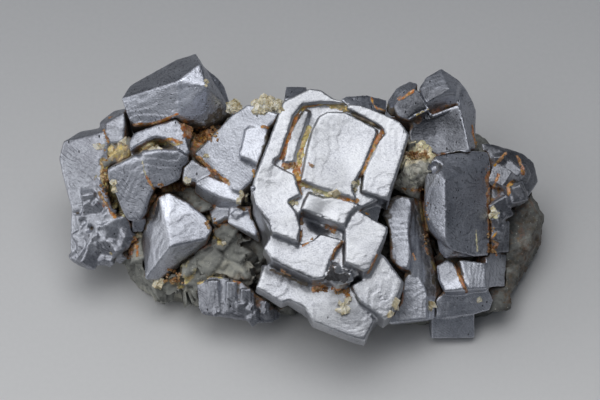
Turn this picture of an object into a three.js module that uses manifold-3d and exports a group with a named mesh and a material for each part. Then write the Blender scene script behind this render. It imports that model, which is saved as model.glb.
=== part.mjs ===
// A skeletal galena specimen: clusters of blocky, hoppered lead-grey crystals grown on a lump of host rock.
// Millimetres, +Z up, origin at the middle of the footprint, on the surface that the specimen rests on.
//
// The crystals are described in the display frame, in which the specimen shows its best side:
// x to the right, y up the display side, z out of it. Straight up, turned forward by LEAN, is z.
import * as THREE from 'three';
import { ConvexGeometry } from 'three/addons/geometries/ConvexGeometry.js';
import { mergeVertices } from 'three/addons/utils/BufferGeometryUtils.js';
import Module from 'manifold-3d';

// Driving dimensions, in millimetres and degrees
const LEAN = 35;
const GROUND_LEVEL = -11.4; // height of the resting surface in the leaned display frame
const SEAM = 0.35; // open seam between neighbouring crystals, and between crystals and rock
const BEVEL = 0.35; // worn rim of a crystal face
const ROCK_DETAIL = 6; // subdivisions of the rock's starting icosahedron

const GALENA = new THREE.MeshStandardMaterial({ color: 0x8d9099, roughness: 0.42, metalness: 0.9 });
const ROCK = new THREE.MeshStandardMaterial({ color: 0x5f5c52, roughness: 0.9, metalness: 0 });
const CALCITE = new THREE.MeshStandardMaterial({ color: 0xcfc296, roughness: 0.45, metalness: 0 });

const wasm = await Module();
wasm.setup();

// A closed geometry as a solid that can be joined and cut
function toSolid(geometry) {
  const bare = geometry.index ? geometry.toNonIndexed() : geometry.clone();
  bare.deleteAttribute('normal');
  bare.deleteAttribute('uv');
  const merged = mergeVertices(bare, 1e-4);
  return new wasm.Manifold(new wasm.Mesh({
    numProp: 3,
    vertProperties: merged.attributes.position.array,
    triVerts: new Uint32Array(merged.index.array),
  }));
}

function toGeometry(solid) {
  const mesh = solid.getMesh();
  const geometry = new THREE.BufferGeometry();
  geometry.setAttribute('position', new THREE.BufferAttribute(mesh.vertProperties, 3));
  geometry.setIndex(new THREE.BufferAttribute(mesh.triVerts, 1));
  return geometry;
}

// The outward direction of a face turned to the right by yaw and up by pitch
function facing([yaw, pitch]) {
  const y = THREE.MathUtils.degToRad(yaw);
  const p = THREE.MathUtils.degToRad(pitch);
  return new THREE.Vector3(Math.sin(y) * Math.cos(p), Math.sin(p), Math.cos(y) * Math.cos(p));
}

// A crystal with one flat face and walls square to it. outline is the face as seen from the front,
// turn is [yaw, pitch] of the face, and the face lies either `out` in front of the display plane
// at its middle, or at `level` along its own direction. flare widens the crystal towards its root.
function plate({ outline, turn = [0, 0], out, level, depth, flare = 0 }) {
  const middle = outline.reduce((m, [x, y]) => [m[0] + x / outline.length, m[1] + y / outline.length], [0, 0]);
  const n = facing(turn);
  const face = out ?? (level - n.x * middle[0] - n.y * middle[1]) / n.z;
  return (grow) => {
    const shape = new THREE.Shape(outline.map(([x, y]) => new THREE.Vector2(x, y)));
    const geometry = new THREE.ExtrudeGeometry(shape, {
      depth: depth - 2 * BEVEL + 2 * grow,
      bevelThickness: BEVEL,
      bevelSize: BEVEL,
      bevelOffset: grow - BEVEL,
      bevelSegments: 1,
    });
    const at = geometry.attributes.position;
    for (let i = 0; i < at.count; i += 1) {
      const below = depth - BEVEL + grow - at.getZ(i);
      const spread = 1 + (flare * Math.max(below, 0)) / depth;
      const x = (at.getX(i) - middle[0]) * spread;
      const y = (at.getY(i) - middle[1]) * spread;
      const z = face - (n.x * x + n.y * y) / n.z;
      at.setXYZ(i, middle[0] + x - n.x * below, middle[1] + y - n.y * below, z - n.z * below);
    }
    return toSolid(geometry);
  };
}

// A crystal given by its corners: the smallest convex solid that holds them
function chunk(corners) {
  const points = corners.map((c) => new THREE.Vector3(...c));
  const box = new THREE.Box3().setFromPoints(points);
  const middle = box.getCenter(new THREE.Vector3());
  const half = box.getSize(new THREE.Vector3()).multiplyScalar(0.5);
  return (grow) => {
    const moved = points.map((p) => new THREE.Vector3(
      middle.x + (p.x - middle.x) * (1 + grow / half.x),
      middle.y + (p.y - middle.y) * (1 + grow / half.y),
      middle.z + (p.z - middle.z) * (1 + grow / half.z),
    ));
    return toSolid(new ConvexGeometry(moved));
  };
}

// A cube-like crystal: middle of its front face, [yaw, pitch, spin], and [width, height, depth]
function block([x, y, z], [yaw, pitch, spin], [width, height, depth]) {
  return (grow) => {
    const geometry = new THREE.BoxGeometry(width + 2 * grow, height + 2 * grow, depth + 2 * grow);
    geometry.translate(0, 0, -depth / 2);
    geometry.rotateZ(THREE.MathUtils.degToRad(spin));
    geometry.rotateX(THREE.MathUtils.degToRad(-pitch));
    geometry.rotateY(THREE.MathUtils.degToRad(yaw));
    geometry.translate(x, y, z);
    return toSolid(geometry);
  };
}

// The big skeletal crystal in the middle: one lattice, whose faces all look the same way,
// stepping down from the framed plateau to the apron near the ground
const MIDDLE_TURN = [3, 18];
const middleFace = (outline, level, depth) => plate({ outline, level, depth, turn: MIDDLE_TURN });
const middleCrystal = [
  // floor of the grooves under the framed plateau
  middleFace([[-11, 5], [-4, 24], [2.5, 27], [7, 25.2], [12, 23.3], [16, 23], [24, 19.5], [26, 16],
    [24.5, 10], [21.5, 1], [14, -2.6], [0.4, -1.6], [-1, -10], [-7.5, -8], [-11.3, 0]], 27.7, 18.3),
  // arched head and left rail of the frame
  middleFace([[-4.2, 24.7], [2.5, 28], [5.4, 27.5], [8.2, 25.5], [12, 24.2], [5, 24.3], [0.7, 23.8],
    [-1.4, 21.1], [-2.6, 17.6], [-4.9, 10.9], [-6.4, 9.9], [-7.6, 4], [-11.4, 5.2]], 29.6, 6),
  // lower left corner of the frame
  middleFace([[-10.6, 7.6], [-7.9, 9.8], [-1.3, 6.4], [0.3, 1.3], [-2.9, -0.3], [-1, -2.8], [0.3, -6.6],
    [-0.4, -10.5], [-7.1, -7.9], [-7.7, -5.4], [-10.9, -0.9], [-12, 3.2]], 29.5, 9),
  // thin inner rail between the two grooves
  middleFace([[0, 21.3], [1.3, 22.7], [2.5, 22], [1.2, 17.6], [-0.3, 13.5], [-1.3, 9.8], [-2.3, 9.1],
    [-4.2, 9.4], [-2.9, 15.8]], 28.5, 4),
  // raised plateau
  middleFace([[0.2, 5], [1.5, 12], [3, 17.5], [4.8, 21], [7, 22.2], [11.5, 22.1], [19.2, 17.9],
    [19.3, 16.4], [15.6, 7.8], [13, 3.3], [13.9, 0.2], [5, 3]], 29.9, 6),
  // right rail of the frame
  middleFace([[12, 24.1], [15.3, 23.9], [18.2, 22.8], [22, 21.2], [25.2, 19.6], [27.3, 16.4],
    [26.2, 12.9], [24.6, 8.1], [22.7, 2], [22, -0.1], [15.2, 2.3], [15.8, 6.8], [17.5, 10.7],
    [19.5, 14.8], [21.2, 16.7], [20.4, 18.2], [16.3, 20.5], [11.6, 23]], 29.7, 8),
  // bar under the plateau
  middleFace([[1.4, 0.4], [2.2, 2], [5.7, 0.7], [8.2, 1], [13.7, -0.6], [14.8, -1.3], [12.7, -3.1],
    [11.1, -6.5], [0.3, -2.2]], 28.7, 8),
  // small block turned away at the bar's right end
  block([17.6, -3, 25.6], [28, 10, -20], [5.2, 4.6, 8]),
  // square block below the bar's end
  middleFace([[13, -3.1], [15, -2.7], [21.7, -6.6], [21.7, -7.9], [19.8, -12.7], [17.5, -17], [15.9, -17.8],
    [11.1, -15.2], [11.1, -7.2]], 27.6, 8),
  // core of the lower steps, and floor of the pocket
  middleFace([[0, -2], [12, -6], [20, -6], [19.5, -12], [15.5, -18], [11, -20.5], [4, -20.5], [-3, -17.5],
    [-7, -14], [-8, -9.4], [-0.5, -9.5]], 23.6, 14),
  // step below the frame
  middleFace([[-9, -11.7], [-7.3, -8.7], [0, -10.8], [3.2, -9.8], [5.1, -8.2], [10.8, -9.8], [8, -14],
    [6, -19.4], [3.2, -19.6], [-2.5, -17], [-7, -14.6]], 26.2, 6),
  // core of the apron
  middleFace([[-9.5, -16], [6, -17.5], [13, -19], [17, -16.5], [20, -13], [24, -20], [21.5, -27.6],
    [15, -33], [3.5, -28], [-3, -24], [-10, -21.3]], 17.8, 8),
  // apron
  middleFace([[-8.8, -15.9], [-10.9, -21.6], [-4.5, -25.6], [-2.6, -24.9], [1.2, -26.7], [3.2, -30.2],
    [12.4, -33.9], [16.1, -35], [18.8, -29.6], [15, -25.4], [12.7, -21], [8.5, -22], [6, -20],
    [-2, -17.8]], 20.6, 5),
  // block on the apron's right shoulder
  middleFace([[12.7, -21], [17.2, -18.7], [20.1, -13.3], [21.2, -14], [25.9, -20.3], [24.3, -25],
    [22.3, -28.6], [21, -29.5], [15, -25.4]], 22.6, 8),
];

// Grey face left of the frame, with a bright step on it and a lens-shaped ledge below
const middleLeftCrystals = [
  plate({
    outline: [[-26.5, 11.6], [-17.2, 21.2], [-13.4, 23.8], [-10.9, 23.5], [-5.5, 21.5], [-6, 19.8],
      [-8, 18], [-10.5, 7], [-12.2, 4.5], [-15, 1.7], [-17.2, 2.3], [-18, 4.3]],
    turn: [-13, 4], out: 20.5, depth: 15, flare: 0.06,
  }),
  plate({
    outline: [[-15.2, 12], [-14.7, 13.5], [-13.8, 17.7], [-12.5, 18.6], [-9.6, 18.3], [-8, 17.7],
      [-8, 15.5], [-9.3, 12], [-10.6, 8.9], [-12.5, 10], [-14.7, 10.7]],
    turn: MIDDLE_TURN, out: 22.4, depth: 3,
  }),
  plate({
    outline: [[-26, 4.8], [-23, 6.3], [-17.9, 4.2], [-16.8, 2.6], [-14, 2.4], [-13.4, 1.5], [-15.3, -0.7],
      [-19.5, 0.4], [-23.6, 2.3], [-25.9, 4]],
    turn: [4, 20], out: 20, depth: 8,
  }),
  plate({
    outline: [[-29.6, 8.2], [-27, 10.3], [-21.4, 7], [-18.5, 4.6], [-20, 3.4], [-26, 4.6], [-29.4, 5]],
    turn: [2, 10], out: 17.4, depth: 10,
  }),
  chunk([[-17.6, -2, 17], [-14.2, -1.6, 17.6], [-11.2, -8.9, 20.2], [-18.2, -5.7, 18.2], [-10.9, -1.4, 17.5],
    [-7.6, -5.6, 17], [-7.4, -8, 17], [-10.2, -10.6, 17.5], [-17, -3, 6], [-8, -3, 6], [-9, -10, 6], [-17, -7, 6]]),
  block([-20.3, -2.6, 15], [-28, 22, 30], [5.5, 5, 8]),
];

// Pyramid-like cube corner that points out of the lower left
const cornerCrystal = [
  chunk([[-35.6, 0.9, 15.6], [-33.1, 1.9, 15.8], [-27.8, -0.9, 15.6], [-23.8, -4.1, 15.8], [-22, -7.3, 16.4],
    [-23.2, -9.6, 17.4], [-29.6, -10.4, 18.9], [-32.5, -11.7, 20], [-38.9, -20, 14.5], [-35.6, -20.4, 13.5],
    [-39.8, -9.5, 11.5], [-38.5, -3, 12], [-30, 1, 3], [-22, -6, 3], [-39, -6, 4], [-37, -18, 8], [-24, -13, 9]]),
];

// Tall block at the upper left, with its top edge worn round and one corner cut off flat
const peakCrystals = [
  chunk([[-44.8, 25.6, 12], [-43.6, 22, 12.2], [-42.7, 20, 12], [-41.4, 19, 12.2], [-30.9, 29.7, 16],
    [-30.6, 21.5, 14.6], [-29.3, 30.4, 15.6], [-25, 34.4, 12.8], [-23.4, 28.6, 15.2], [-22, 27.6, 11],
    [-26.4, 37.2, 3.6], [-31.6, 35.4, 4], [-43, 28.9, 6.6], [-23.9, 18.8, 9.5], [-28, 20.2, 12.8],
    [-17.6, 21.4, 5], [-17.8, 23.4, 5], [-27, 35, -7], [-42, 26, -5], [-42, 16, -3], [-20, 17, -4], [-20, 26, -4]]),
  chunk([[-24.7, 34, 4.5], [-22.8, 31.2, 5.5], [-20.6, 30.6, 4.5], [-19.2, 29, 3.5], [-17.4, 23.4, 4],
    [-21, 24, 7], [-24, 26, 8], [-22, 32, -4], [-18, 24, -5], [-23, 24, -5]]),
];

// Far left: a broad upright face, a smaller step behind it and the knobbly lump below it
const leftCrystals = [
  chunk([[-48.8, 19.4, 9.5], [-44.4, 22, 9.5], [-44, 19, 10.5], [-44.6, 14.5, 10.5], [-48.2, 14, 10],
    [-50.8, 19.6, 6], [-47.2, 22.6, 3], [-43.9, 23.3, 2.5], [-50, 12, -3], [-42, 13, -3], [-43, 20, -6], [-50, 19, -6]]),
  chunk([[-59.8, 14.8, 8], [-53, 15.9, 9.6], [-49, 17.4, 10], [-48.2, 13.5, 10.5], [-51, 9, 11.5],
    [-50.4, 3, 12], [-49, -3, 12], [-57.5, -3, 9.5], [-60.2, 6.8, 8], [-61, 10.7, 7.5], [-55.8, 17.3, 4],
    [-50.5, 18.3, 3], [-47, 15, -6], [-46, -3, -3], [-57, -3, -1], [-60.5, 8, -1], [-59, 13, -2]]),
  chunk([[-50.6, 5.2, 12.3], [-47.9, 0.5, 12.5], [-46.8, -4, 12], [-50.5, -7.6, 12], [-54.5, -5.5, 10.5],
    [-54.5, 2, 10.5], [-48, -2, 3], [-55, -2, 2]]),
  chunk([[-57.7, -2, 9], [-57.4, -7, 9.5], [-57.9, -12.5, 9.5], [-56, -15.9, 9], [-53.2, -14.6, 10.5],
    [-52.5, -8, 10], [-51, -3, 9], [-57, -3, 0], [-56.5, -14, 4], [-51, -13, 4]]),
  block([-45.2, -8.2, 13], [12, -8, 24], [6.6, 7.4, 9]),
  block([-49.8, -12.7, 12], [-6, -22, -12], [6.8, 6.4, 7.5]),
  block([-45, -11.6, 11], [14, -30, 8], [6, 5, 7]),
  block([-54.8, -9.4, 11.2], [-14, 6, 35], [4.2, 4.4, 6]),
];

// Upper middle left: a long bar and two rounded blocks side by side under it
const innerLeftCrystals = [
  plate({
    outline: [[-43, 14.8], [-41.7, 17], [-38.5, 18.2], [-31.2, 20.6], [-29.2, 18.4], [-27.4, 11.6],
      [-30, 12.6], [-33.5, 15.4], [-36.3, 15.8], [-39.8, 14.2], [-42.7, 12.4]],
    turn: [-4, 16], out: 14.5, depth: 9,
  }),
  block([-28.9, 14.6, 14.4], [34, 6, -20], [3.4, 9, 9]),
  plate({
    outline: [[-48.4, 7.7], [-41.4, 11], [-39.6, 10.6], [-38.4, 6.1], [-36.6, 2.9], [-37, 1.7], [-38.2, -1.2],
      [-38.5, -3.1], [-40.1, -5.3], [-43, -5.3], [-44.3, -3.5], [-46.5, 2], [-48.1, 5.2]],
    turn: [-5, -6], out: 18, depth: 13,
  }),
  plate({
    outline: [[-39.6, 11.9], [-36.3, 12.6], [-30.2, 12.5], [-27.9, 11], [-27.6, 9.8], [-29.4, 8.2], [-29.9, 5.2],
      [-33.1, 3.6], [-35.4, 2.9], [-37, 4.2], [-38.3, 6.5]],
    turn: [6, -4], out: 18.4, depth: 13,
  }),
  block([-40.4, -6.4, 13], [4, -18, 2], [3.6, 3.4, 8]),
];

// Column right of the middle, with a long dark side that runs down to the right
const columnCrystals = [
  plate({
    outline: [[20.4, -3.5], [22.7, 0.6], [24.5, 1.2], [27.2, 0.8], [28, -1], [27.3, -8.6], [27.8, -14],
      [27.1, -17.3], [24.8, -17], [22.4, -14.6], [22.2, -7.3]],
    turn: [-8, 8], out: 21, depth: 14,
  }),
  chunk([[28, 0.5, 19.5], [30, 0.8, 16], [31, -8, 14.5], [32.7, -17.5, 14.5], [37.2, -29.5, 14.5],
    [31.9, -30.3, 18.6], [31.7, -23.8, 19.6], [27.6, -17.5, 20.6], [27.2, -8.6, 20.6], [27, 0, 6], [34, -18, 4],
    [33, -28, 10], [25, -16, 6]]),
  plate({
    outline: [[26.2, -18.2], [28, -18.4], [30.8, -20.3], [31.9, -23.8], [31.9, -30], [22.5, -31],
      [21.7, -30.2], [25.2, -25.4]],
    turn: [-6, 3], out: 20.4, depth: 8,
  }),
];

// Big dark cube on the right, with a smaller cube grown on its lower edge
const rightCrystals = [
  chunk([[36.1, 4.8, 24.5], [36.1, -9.5, 24.5], [38, -12.7, 23.6], [43.4, -14.2, 19.5], [47.3, -14, 15.5],
    [47.7, -8, 14.5], [46.9, 0.5, 14.6], [48, 8.7, 12.5], [47.4, 12, 11.4], [43.4, 12.4, 13.6], [37.3, 11.5, 17],
    [33.8, 10.9, 18.6], [31.3, 8.2, 20.4], [31.1, 2.3, 21.2], [31.2, -3.5, 21.4], [32.3, -7.3, 21.8],
    [34.2, -9.5, 23], [31.5, 8, 6], [45, 12, 0], [46, -13, 1], [33, -9, 6]]),
  chunk([[34.3, -9.6, 20.4], [38.6, -12.4, 21.6], [43.6, -14.2, 18.5], [36.2, -14.6, 20], [34.9, -13, 19.6],
    [35, -10, 8], [43, -12, 8], [37, -14, 8]]),
];

// Under the dark cube: a two-faced block, the overhung ledge and the foot that reaches the ground
const footCrystals = [
  plate({
    outline: [[34.1, -16.4], [36.8, -14.7], [38.3, -15.6], [41.2, -21.2], [40.9, -22.6], [36, -22.9], [34.4, -19.7]],
    turn: [-8, 14], out: 20.6, depth: 13,
  }),
  plate({
    outline: [[39.8, -14.8], [46.6, -15.6], [47.2, -22.2], [40.9, -22.6], [41.5, -20.6], [40.4, -17.4]],
    turn: [12, 14], out: 19.8, depth: 13,
  }),
  chunk([[46.2, -12, 15], [46.8, -15.6, 17], [47.2, -22, 18], [51.6, -21.8, 12], [52.2, -14, 9], [50, -10, 9],
    [43, -16, 9], [43, -21, 10], [46, -14, 4], [48, -21, 6]]),
  chunk([[36, -22.8, 17.4], [47.2, -22.2, 17], [48.6, -25.2, 15.5], [47.5, -27.8, 15.4], [43.6, -28.8, 15.8],
    [37.4, -29.7, 16.8], [34, -30, 17], [34, -25, 17.2], [38, -24, 6], [47, -24, 6], [42, -28, 10]]),
  block([38.4, -31.2, 14.2], [4, -12, 1], [11, 7.4, 6]),
];

// Upper right: a leaning group of cubes behind a pitted face
const upperRightCrystals = [
  plate({
    outline: [[27.8, 19.3], [31.4, 21], [35.4, 22.3], [39.7, 24], [40.6, 22.2], [42.9, 12.2], [34.8, 10.6], [28.4, 13.6],
      [27.2, 15.6]],
    turn: [-6, 10], out: 14, depth: 14,
  }),
  chunk([[40, 24.2, 11.6], [40.7, 22.2, 12.2], [43.1, 12.1, 12.6], [44.2, 12.6, 9], [43.9, 15.8, 8.4],
    [43, 19.6, 8], [44.6, 22.5, 4], [43.6, 25.3, 4.6], [41.7, 28.8, 5.4], [38, 14, 0], [38, 26, -2], [42, 24, -4],
    [42, 14, -2]]),
  chunk([[31.9, 31, 8.4], [35.7, 33.2, 6.4], [37.5, 28, 12.8], [32.2, 24.7, 14.2], [30, 28.2, 11.2], [40.2, 30.3, 6],
    [39.4, 27.6, 11.2], [41.7, 28.6, 4], [39.9, 24.3, 10], [33, 21.6, 12], [32, 29, -5], [40, 28, -6], [40, 20, -5],
    [31, 20, -4]]),
  plate({
    outline: [[23.6, 24.6], [28.7, 28.1], [30, 27.5], [32.5, 22.8], [29, 21.2], [27.1, 20], [24.4, 21], [23.6, 22.8]],
    turn: [-4, 14], out: 15, depth: 12,
  }),
  chunk([[21.7, 22.6, 11], [22.3, 25.3, 10], [24.3, 28.2, 8.6], [27.8, 30, 6.6], [29.6, 29.4, 7.6], [28.7, 27.4, 12],
    [23.8, 24, 13], [23, 21, 12], [23, 22, 0], [28, 28, -3], [30, 22, 0]]),
];

// Narrow ledge that shows over the right shoulder of the frame
const ledgeCrystals = [
  chunk([[10.2, 25.2, 17.4], [11.5, 26.1, 15], [16.9, 26.4, 13.4], [18.6, 25.4, 13], [21.9, 25.2, 10.6],
    [21.6, 22.4, 13], [18, 22.2, 16], [12.4, 23.4, 18], [12, 18, 4], [20, 17, 3]]),
];

// Right end: thin worn faces that wrap the rock, and a small three-sided corner between them
const rightEndCrystals = [
  chunk([[45.6, 14.4, 9.4], [49, 14.2, 7.6], [51.7, 12.3, 8.6], [56.6, 11.8, 4.2], [59.4, 9.6, 2.2],
    [60.4, 4.6, 3.2], [57.8, 1, 8.6], [52, -1.5, 12.4], [48.4, -2.5, 14], [50, 10, -4], [57.5, 8, -5],
    [55, -2, -3]]),
  chunk([[53.1, 4.3, 11], [55.2, 1.8, 13.6], [57.8, 2.4, 9.6], [55.6, -1.4, 12.6], [52.2, -0.4, 12.8], [54, 1, 6],
    [57, 0, 6]]),
  block([50.6, -2.6, 14.4], [24, -6, 30], [5, 5.4, 8]),
  block([50.6, -9.6, 13], [34, -10, 8], [5.4, 8, 8]),
  block([49.5, 6.2, 13.2], [20, 8, -25], [3.6, 5.8, 6]),
];

// Bottom middle: a worn block, grooved from top to bottom
const groovedCrystals = [
  chunk([[-25.9, -21.3, 16.4], [-22.4, -19.3, 16], [-19, -19.4, 16.2], [-14.7, -20.6, 17], [-11.4, -23.4, 17.6],
    [-11, -30.6, 17.6], [-16.3, -28.6, 18.2], [-24.6, -28.8, 17.2], [-25.4, -27, 16.8], [-23, -20, 6],
    [-12, -22, 6], [-12, -28, 11], [-23, -26, 9]]),
  chunk([[-12.5, -23, 16.6], [-9.6, -24.6, 16.4], [-7.2, -26.7, 15.6], [-4.8, -28, 14.6], [-5.1, -29.9, 14.8],
    [-7.1, -30.9, 15.6], [-11, -31, 17.2], [-12.6, -30.6, 17.4], [-12, -24, 6], [-6, -27, 8], [-10, -29, 12]]),
  block([-21.6, -24.4, 17.6], [-6, 2, 3], [2.8, 8.6, 5]),
  block([-17.2, -24.4, 18.2], [4, 0, -2], [2.6, 8, 5]),
  block([-13.4, -25.8, 18.1], [8, -4, 4], [2.6, 7, 5]),
];

// Hidden side: cubes that stand out of the back of the rock
const backCrystals = [
  [block([-12, 21.8, -3], [-12, 72, 12], [15, 13, 12]), block([-21, 20, -6], [-24, 80, 30], [11, 10, 9])],
  [block([8, 23.6, -4], [18, 78, -16], [15, 12, 11]), block([0, 21, -9], [6, 98, 10], [9, 9, 8]),
    chunk([[-3.8, 27.8, 1], [-3.6, 29, -1], [1.6, 28.8, -1], [2.6, 26, 3], [-4, 25.4, 4], [-4.4, 18, -2],
      [4, 18, -2], [0, 20, -10]])],
  [block([26, 22, -5], [24, 70, 14], [13, 11, 12]), block([36, 18, -9], [34, 82, -8], [10, 9, 9])],
];

// Cream calcite cubes fused into one tuft, in the gap behind the grey left face
const calciteTuft = [
  block([-9.4, 24.6, 13.4], [12, 30, 20], [3.6, 3.2, 4]),
  block([-7.4, 23.4, 13.8], [-20, 24, 50], [3.4, 2.8, 4]),
  block([-11.4, 24.4, 13], [28, 16, 5], [2.8, 2.6, 4]),
  block([-5.6, 22.6, 14], [6, 36, 35], [2.6, 2.6, 4]),
  block([-8.6, 22.4, 12.4], [0, 0, 15], [8, 3, 4.6]),
];
const calciteBead = [
  block([-16.6, 24.2, 8.6], [10, 26, 20], [2.6, 2.4, 5]),
  block([-15.6, 23.2, 9.6], [-22, 16, 48], [2, 2, 5]),
];

// The host rock in the display frame: every direction from ROCK_CENTRE is followed out to the nearest
// of these broken surfaces, each given as the direction it faces and a point that it passes through
const ROCK_CENTRE = new THREE.Vector3(6, -4, 0);
const BROKEN_FACES = [
  [[0.04, 0.05, 1], [-20, -10, 13]],
  [[0.25, 0.3, 0.92], [28, 8, 15]],
  [[-0.25, 0.25, 0.93], [-24, 16, 8]],
  [[0.8, 0.12, 0.58], [59, 2, 6]],
  [[1, 0.05, 0], [61.8, -1, 0]],
  [[0.85, -0.52, -0.05], [57.6, -17, 5]],
  [[0.35, -0.9, 0.12], [50, -27.5, 10]],
  [[-0.1, -0.96, 0.14], [-8, -27, 13]],
  [[-0.42, -0.88, 0.2], [-34, -25.4, 10]],
  [[-0.95, -0.3, 0.1], [-43.6, -17, 8]],
  [[-0.8, 0.45, 0.4], [-45, 8, 6]],
  [[-0.3, 0.8, 0.5], [-26, 21, 3]],
  [[0.2, 0.8, 0.55], [18, 18, 8]],
  [[0.04, 1, 0], [0, 20, 0]],
  [[0.55, 0.75, 0.35], [48, 10, 2]],
  [[-0.2, 0.78, -0.6], [-20, 20, -14]],
  [[0.15, 0.7, -0.7], [20, 20, -16]],
  [[0.7, 0.3, -0.65], [52, 0, -14]],
  [[-0.75, 0.2, -0.6], [-42, 4, -10]],
];
const ROCK_ROUGHNESS = 1.1;

// Angular fragments that stand out of the broken surface
const rockFragments = [
  chunk([[44, -21, 13.6], [50, -19, 12], [55, -16.5, 8], [54, -22, 9.6], [52.6, -27.4, 13.4], [45.5, -28.6, 14.4],
    [42, -26, 8], [52, -23, 0], [54, -17, -1], [42, -18, 2]]),
  chunk([[-26, -12, 13.6], [-19, -10.6, 15], [-13.6, -12, 15.8], [-10.8, -17, 16], [-16, -20.4, 15.6],
    [-24, -18, 14.2], [-25, -12, 6], [-12, -13, 6], [-14, -20, 6]]),
  chunk([[-37.4, -22, 12], [-34, -18.4, 14.2], [-27, -17.6, 15.2], [-24.6, -20.4, 14.8], [-27.6, -24, 14],
    [-35, -24.6, 12.4], [-36, -20, 6], [-26, -18, 6], [-28, -23, 8]]),
  chunk([[-20.4, -5.4, 13.6], [-14.6, -5, 15.2], [-12, -10.6, 15.6], [-18, -11.4, 15], [-21.6, -8.6, 14],
    [-20, -6, 6], [-13, -7, 6]]),
  chunk([[-50, 13, 8.6], [-43.4, 14.4, 9], [-41.6, 10, 11], [-45, 7.4, 11.6], [-49.8, 8.6, 10.4], [-49, 12, 0],
    [-40, 13, 0], [-42, 4, 2]]),
  chunk([[25.4, 13.2, 15.2], [32.4, 13, 14.8], [33.6, 9, 17], [28.4, 8, 18.4], [24, 8.6, 17.6], [23.6, 2.6, 17.4],
    [30.8, 1.6, 17.4], [27, 12, 6], [34, 8, 6], [25, 2, 6], [31, 1, 6]]),
];

// Smooth lumps that repeat nowhere over the rock: a sum of sines of different lengths
function lumps(p) {
  return Math.sin(0.31 * p.x + 1.3) * Math.sin(0.37 * p.y + 0.4) * Math.sin(0.29 * p.z + 2.1)
    + 0.6 * Math.sin(0.83 * p.x + 0.7 * p.y) * Math.cos(0.71 * p.y - 0.9 * p.z + 1.1)
    + 0.4 * Math.sin(1.37 * p.x - 1.1 * p.z + 0.3) * Math.cos(1.21 * p.y + 0.5 * p.x);
}

function rockSolid() {
  const geometry = new THREE.IcosahedronGeometry(1, ROCK_DETAIL);
  const faces = BROKEN_FACES.map(([direction, point]) => {
    const n = new THREE.Vector3(...direction).normalize();
    return { n, reach: n.dot(new THREE.Vector3(...point).sub(ROCK_CENTRE)) };
  });
  const at = geometry.attributes.position;
  const p = new THREE.Vector3();
  for (let i = 0; i < at.count; i += 1) {
    p.fromBufferAttribute(at, i).normalize();
    const reach = Math.min(...faces.map((f) => (f.n.dot(p) > 0.02 ? f.reach / f.n.dot(p) : 200)));
    const ray = p.clone();
    p.multiplyScalar(reach).add(ROCK_CENTRE);
    p.addScaledVector(ray, ROCK_ROUGHNESS * lumps(p));
    at.setXYZ(i, p.x, p.y, p.z);
  }
  return rockFragments.reduce((sum, fragment) => sum.add(fragment(0)), toSolid(geometry));
}

// Everything below the resting surface, in the display frame
function groundSolid() {
  const size = 300;
  const ground = new THREE.BoxGeometry(size, size, size);
  ground.translate(0, 0, GROUND_LEVEL - size / 2);
  ground.rotateX(THREE.MathUtils.degToRad(-LEAN));
  return toSolid(ground);
}

// Hopper hollows that the crystals left open as they grew: middle, radii and tilt of each
const HOLLOWS = [
  { at: [9.3, -19.2, 31.4], radii: [3.2, 2, 3.8], tilt: -14 },
  { at: [33.4, 8.4, 21.2], radii: [2.2, 1.8, 2.6], tilt: 20 },
  { at: [-49.6, 10, 12.6], radii: [0.9, 1.6, 2.4], tilt: -30 },
];

function hollowSolid({ at, radii, tilt }) {
  const geometry = new THREE.SphereGeometry(1, 10, 7);
  geometry.scale(...radii);
  geometry.rotateZ(THREE.MathUtils.degToRad(tilt));
  geometry.translate(...at);
  return toSolid(geometry);
}

const join = (solids) => solids.reduce((sum, solid) => sum.add(solid));
const largest = (solid) => solid.decompose().sort((a, b) => b.volume() - a.volume())[0];

// Clusters in the order in which they give way: a later one is cut back by a seam from the earlier ones
const clusters = [
  ['galena_middle', middleCrystal, GALENA],
  ['galena_right_cube', rightCrystals, GALENA],
  ['galena_right_foot', footCrystals, GALENA],
  ['galena_column', columnCrystals, GALENA],
  ['galena_corner', cornerCrystal, GALENA],
  ['galena_inner_left', innerLeftCrystals, GALENA],
  ['galena_middle_left', middleLeftCrystals, GALENA],
  ['galena_peak', peakCrystals, GALENA],
  ['galena_left', leftCrystals, GALENA],
  ['galena_upper_right', upperRightCrystals, GALENA],
  ['galena_upper_ledge', ledgeCrystals, GALENA],
  ['galena_right_end', rightEndCrystals, GALENA],
  ['galena_grooved', groovedCrystals, GALENA],
  ['galena_back_left', backCrystals[0], GALENA],
  ['galena_back_middle', backCrystals[1], GALENA],
  ['galena_back_right', backCrystals[2], GALENA],
  ['calcite_tuft', calciteTuft, CALCITE],
  ['calcite_bead', calciteBead, CALCITE],
];

const specimen = new THREE.Group();
const ground = groundSolid();
const hollows = join(HOLLOWS.map(hollowSolid));
let taken = ground;
for (const [name, crystals, material] of clusters) {
  const cluster = largest(join(crystals.map((crystal) => crystal(0))).subtract(taken).subtract(hollows));
  const mesh = new THREE.Mesh(toGeometry(cluster), material);
  mesh.name = name;
  specimen.add(mesh);
  taken = taken.add(join(crystals.map((crystal) => crystal(SEAM))));
}
const rock = new THREE.Mesh(toGeometry(largest(rockSolid().subtract(taken))), ROCK);
rock.name = 'host_rock';
specimen.add(rock);

// Turn the display side forward, then stand the specimen on the middle of its footprint
specimen.rotation.x = THREE.MathUtils.degToRad(LEAN);
specimen.updateMatrixWorld(true);
const extent = new THREE.Box3().setFromObject(specimen, true);
specimen.position.set(-(extent.min.x + extent.max.x) / 2, -(extent.min.y + extent.max.y) / 2, -extent.min.z);

export default specimen;
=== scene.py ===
"""Looks of a skeletal galena specimen: surface relief, seam deposits, small crystals, light and camera.

Lengths inside the script are millimetres in the display frame, in which the specimen shows its best side:
x to the right, y up the display side, z out of it. to_row() turns them into metres in the row frame.
Places read in the photograph are pixels of its 600 x 400 frame.
"""

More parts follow.
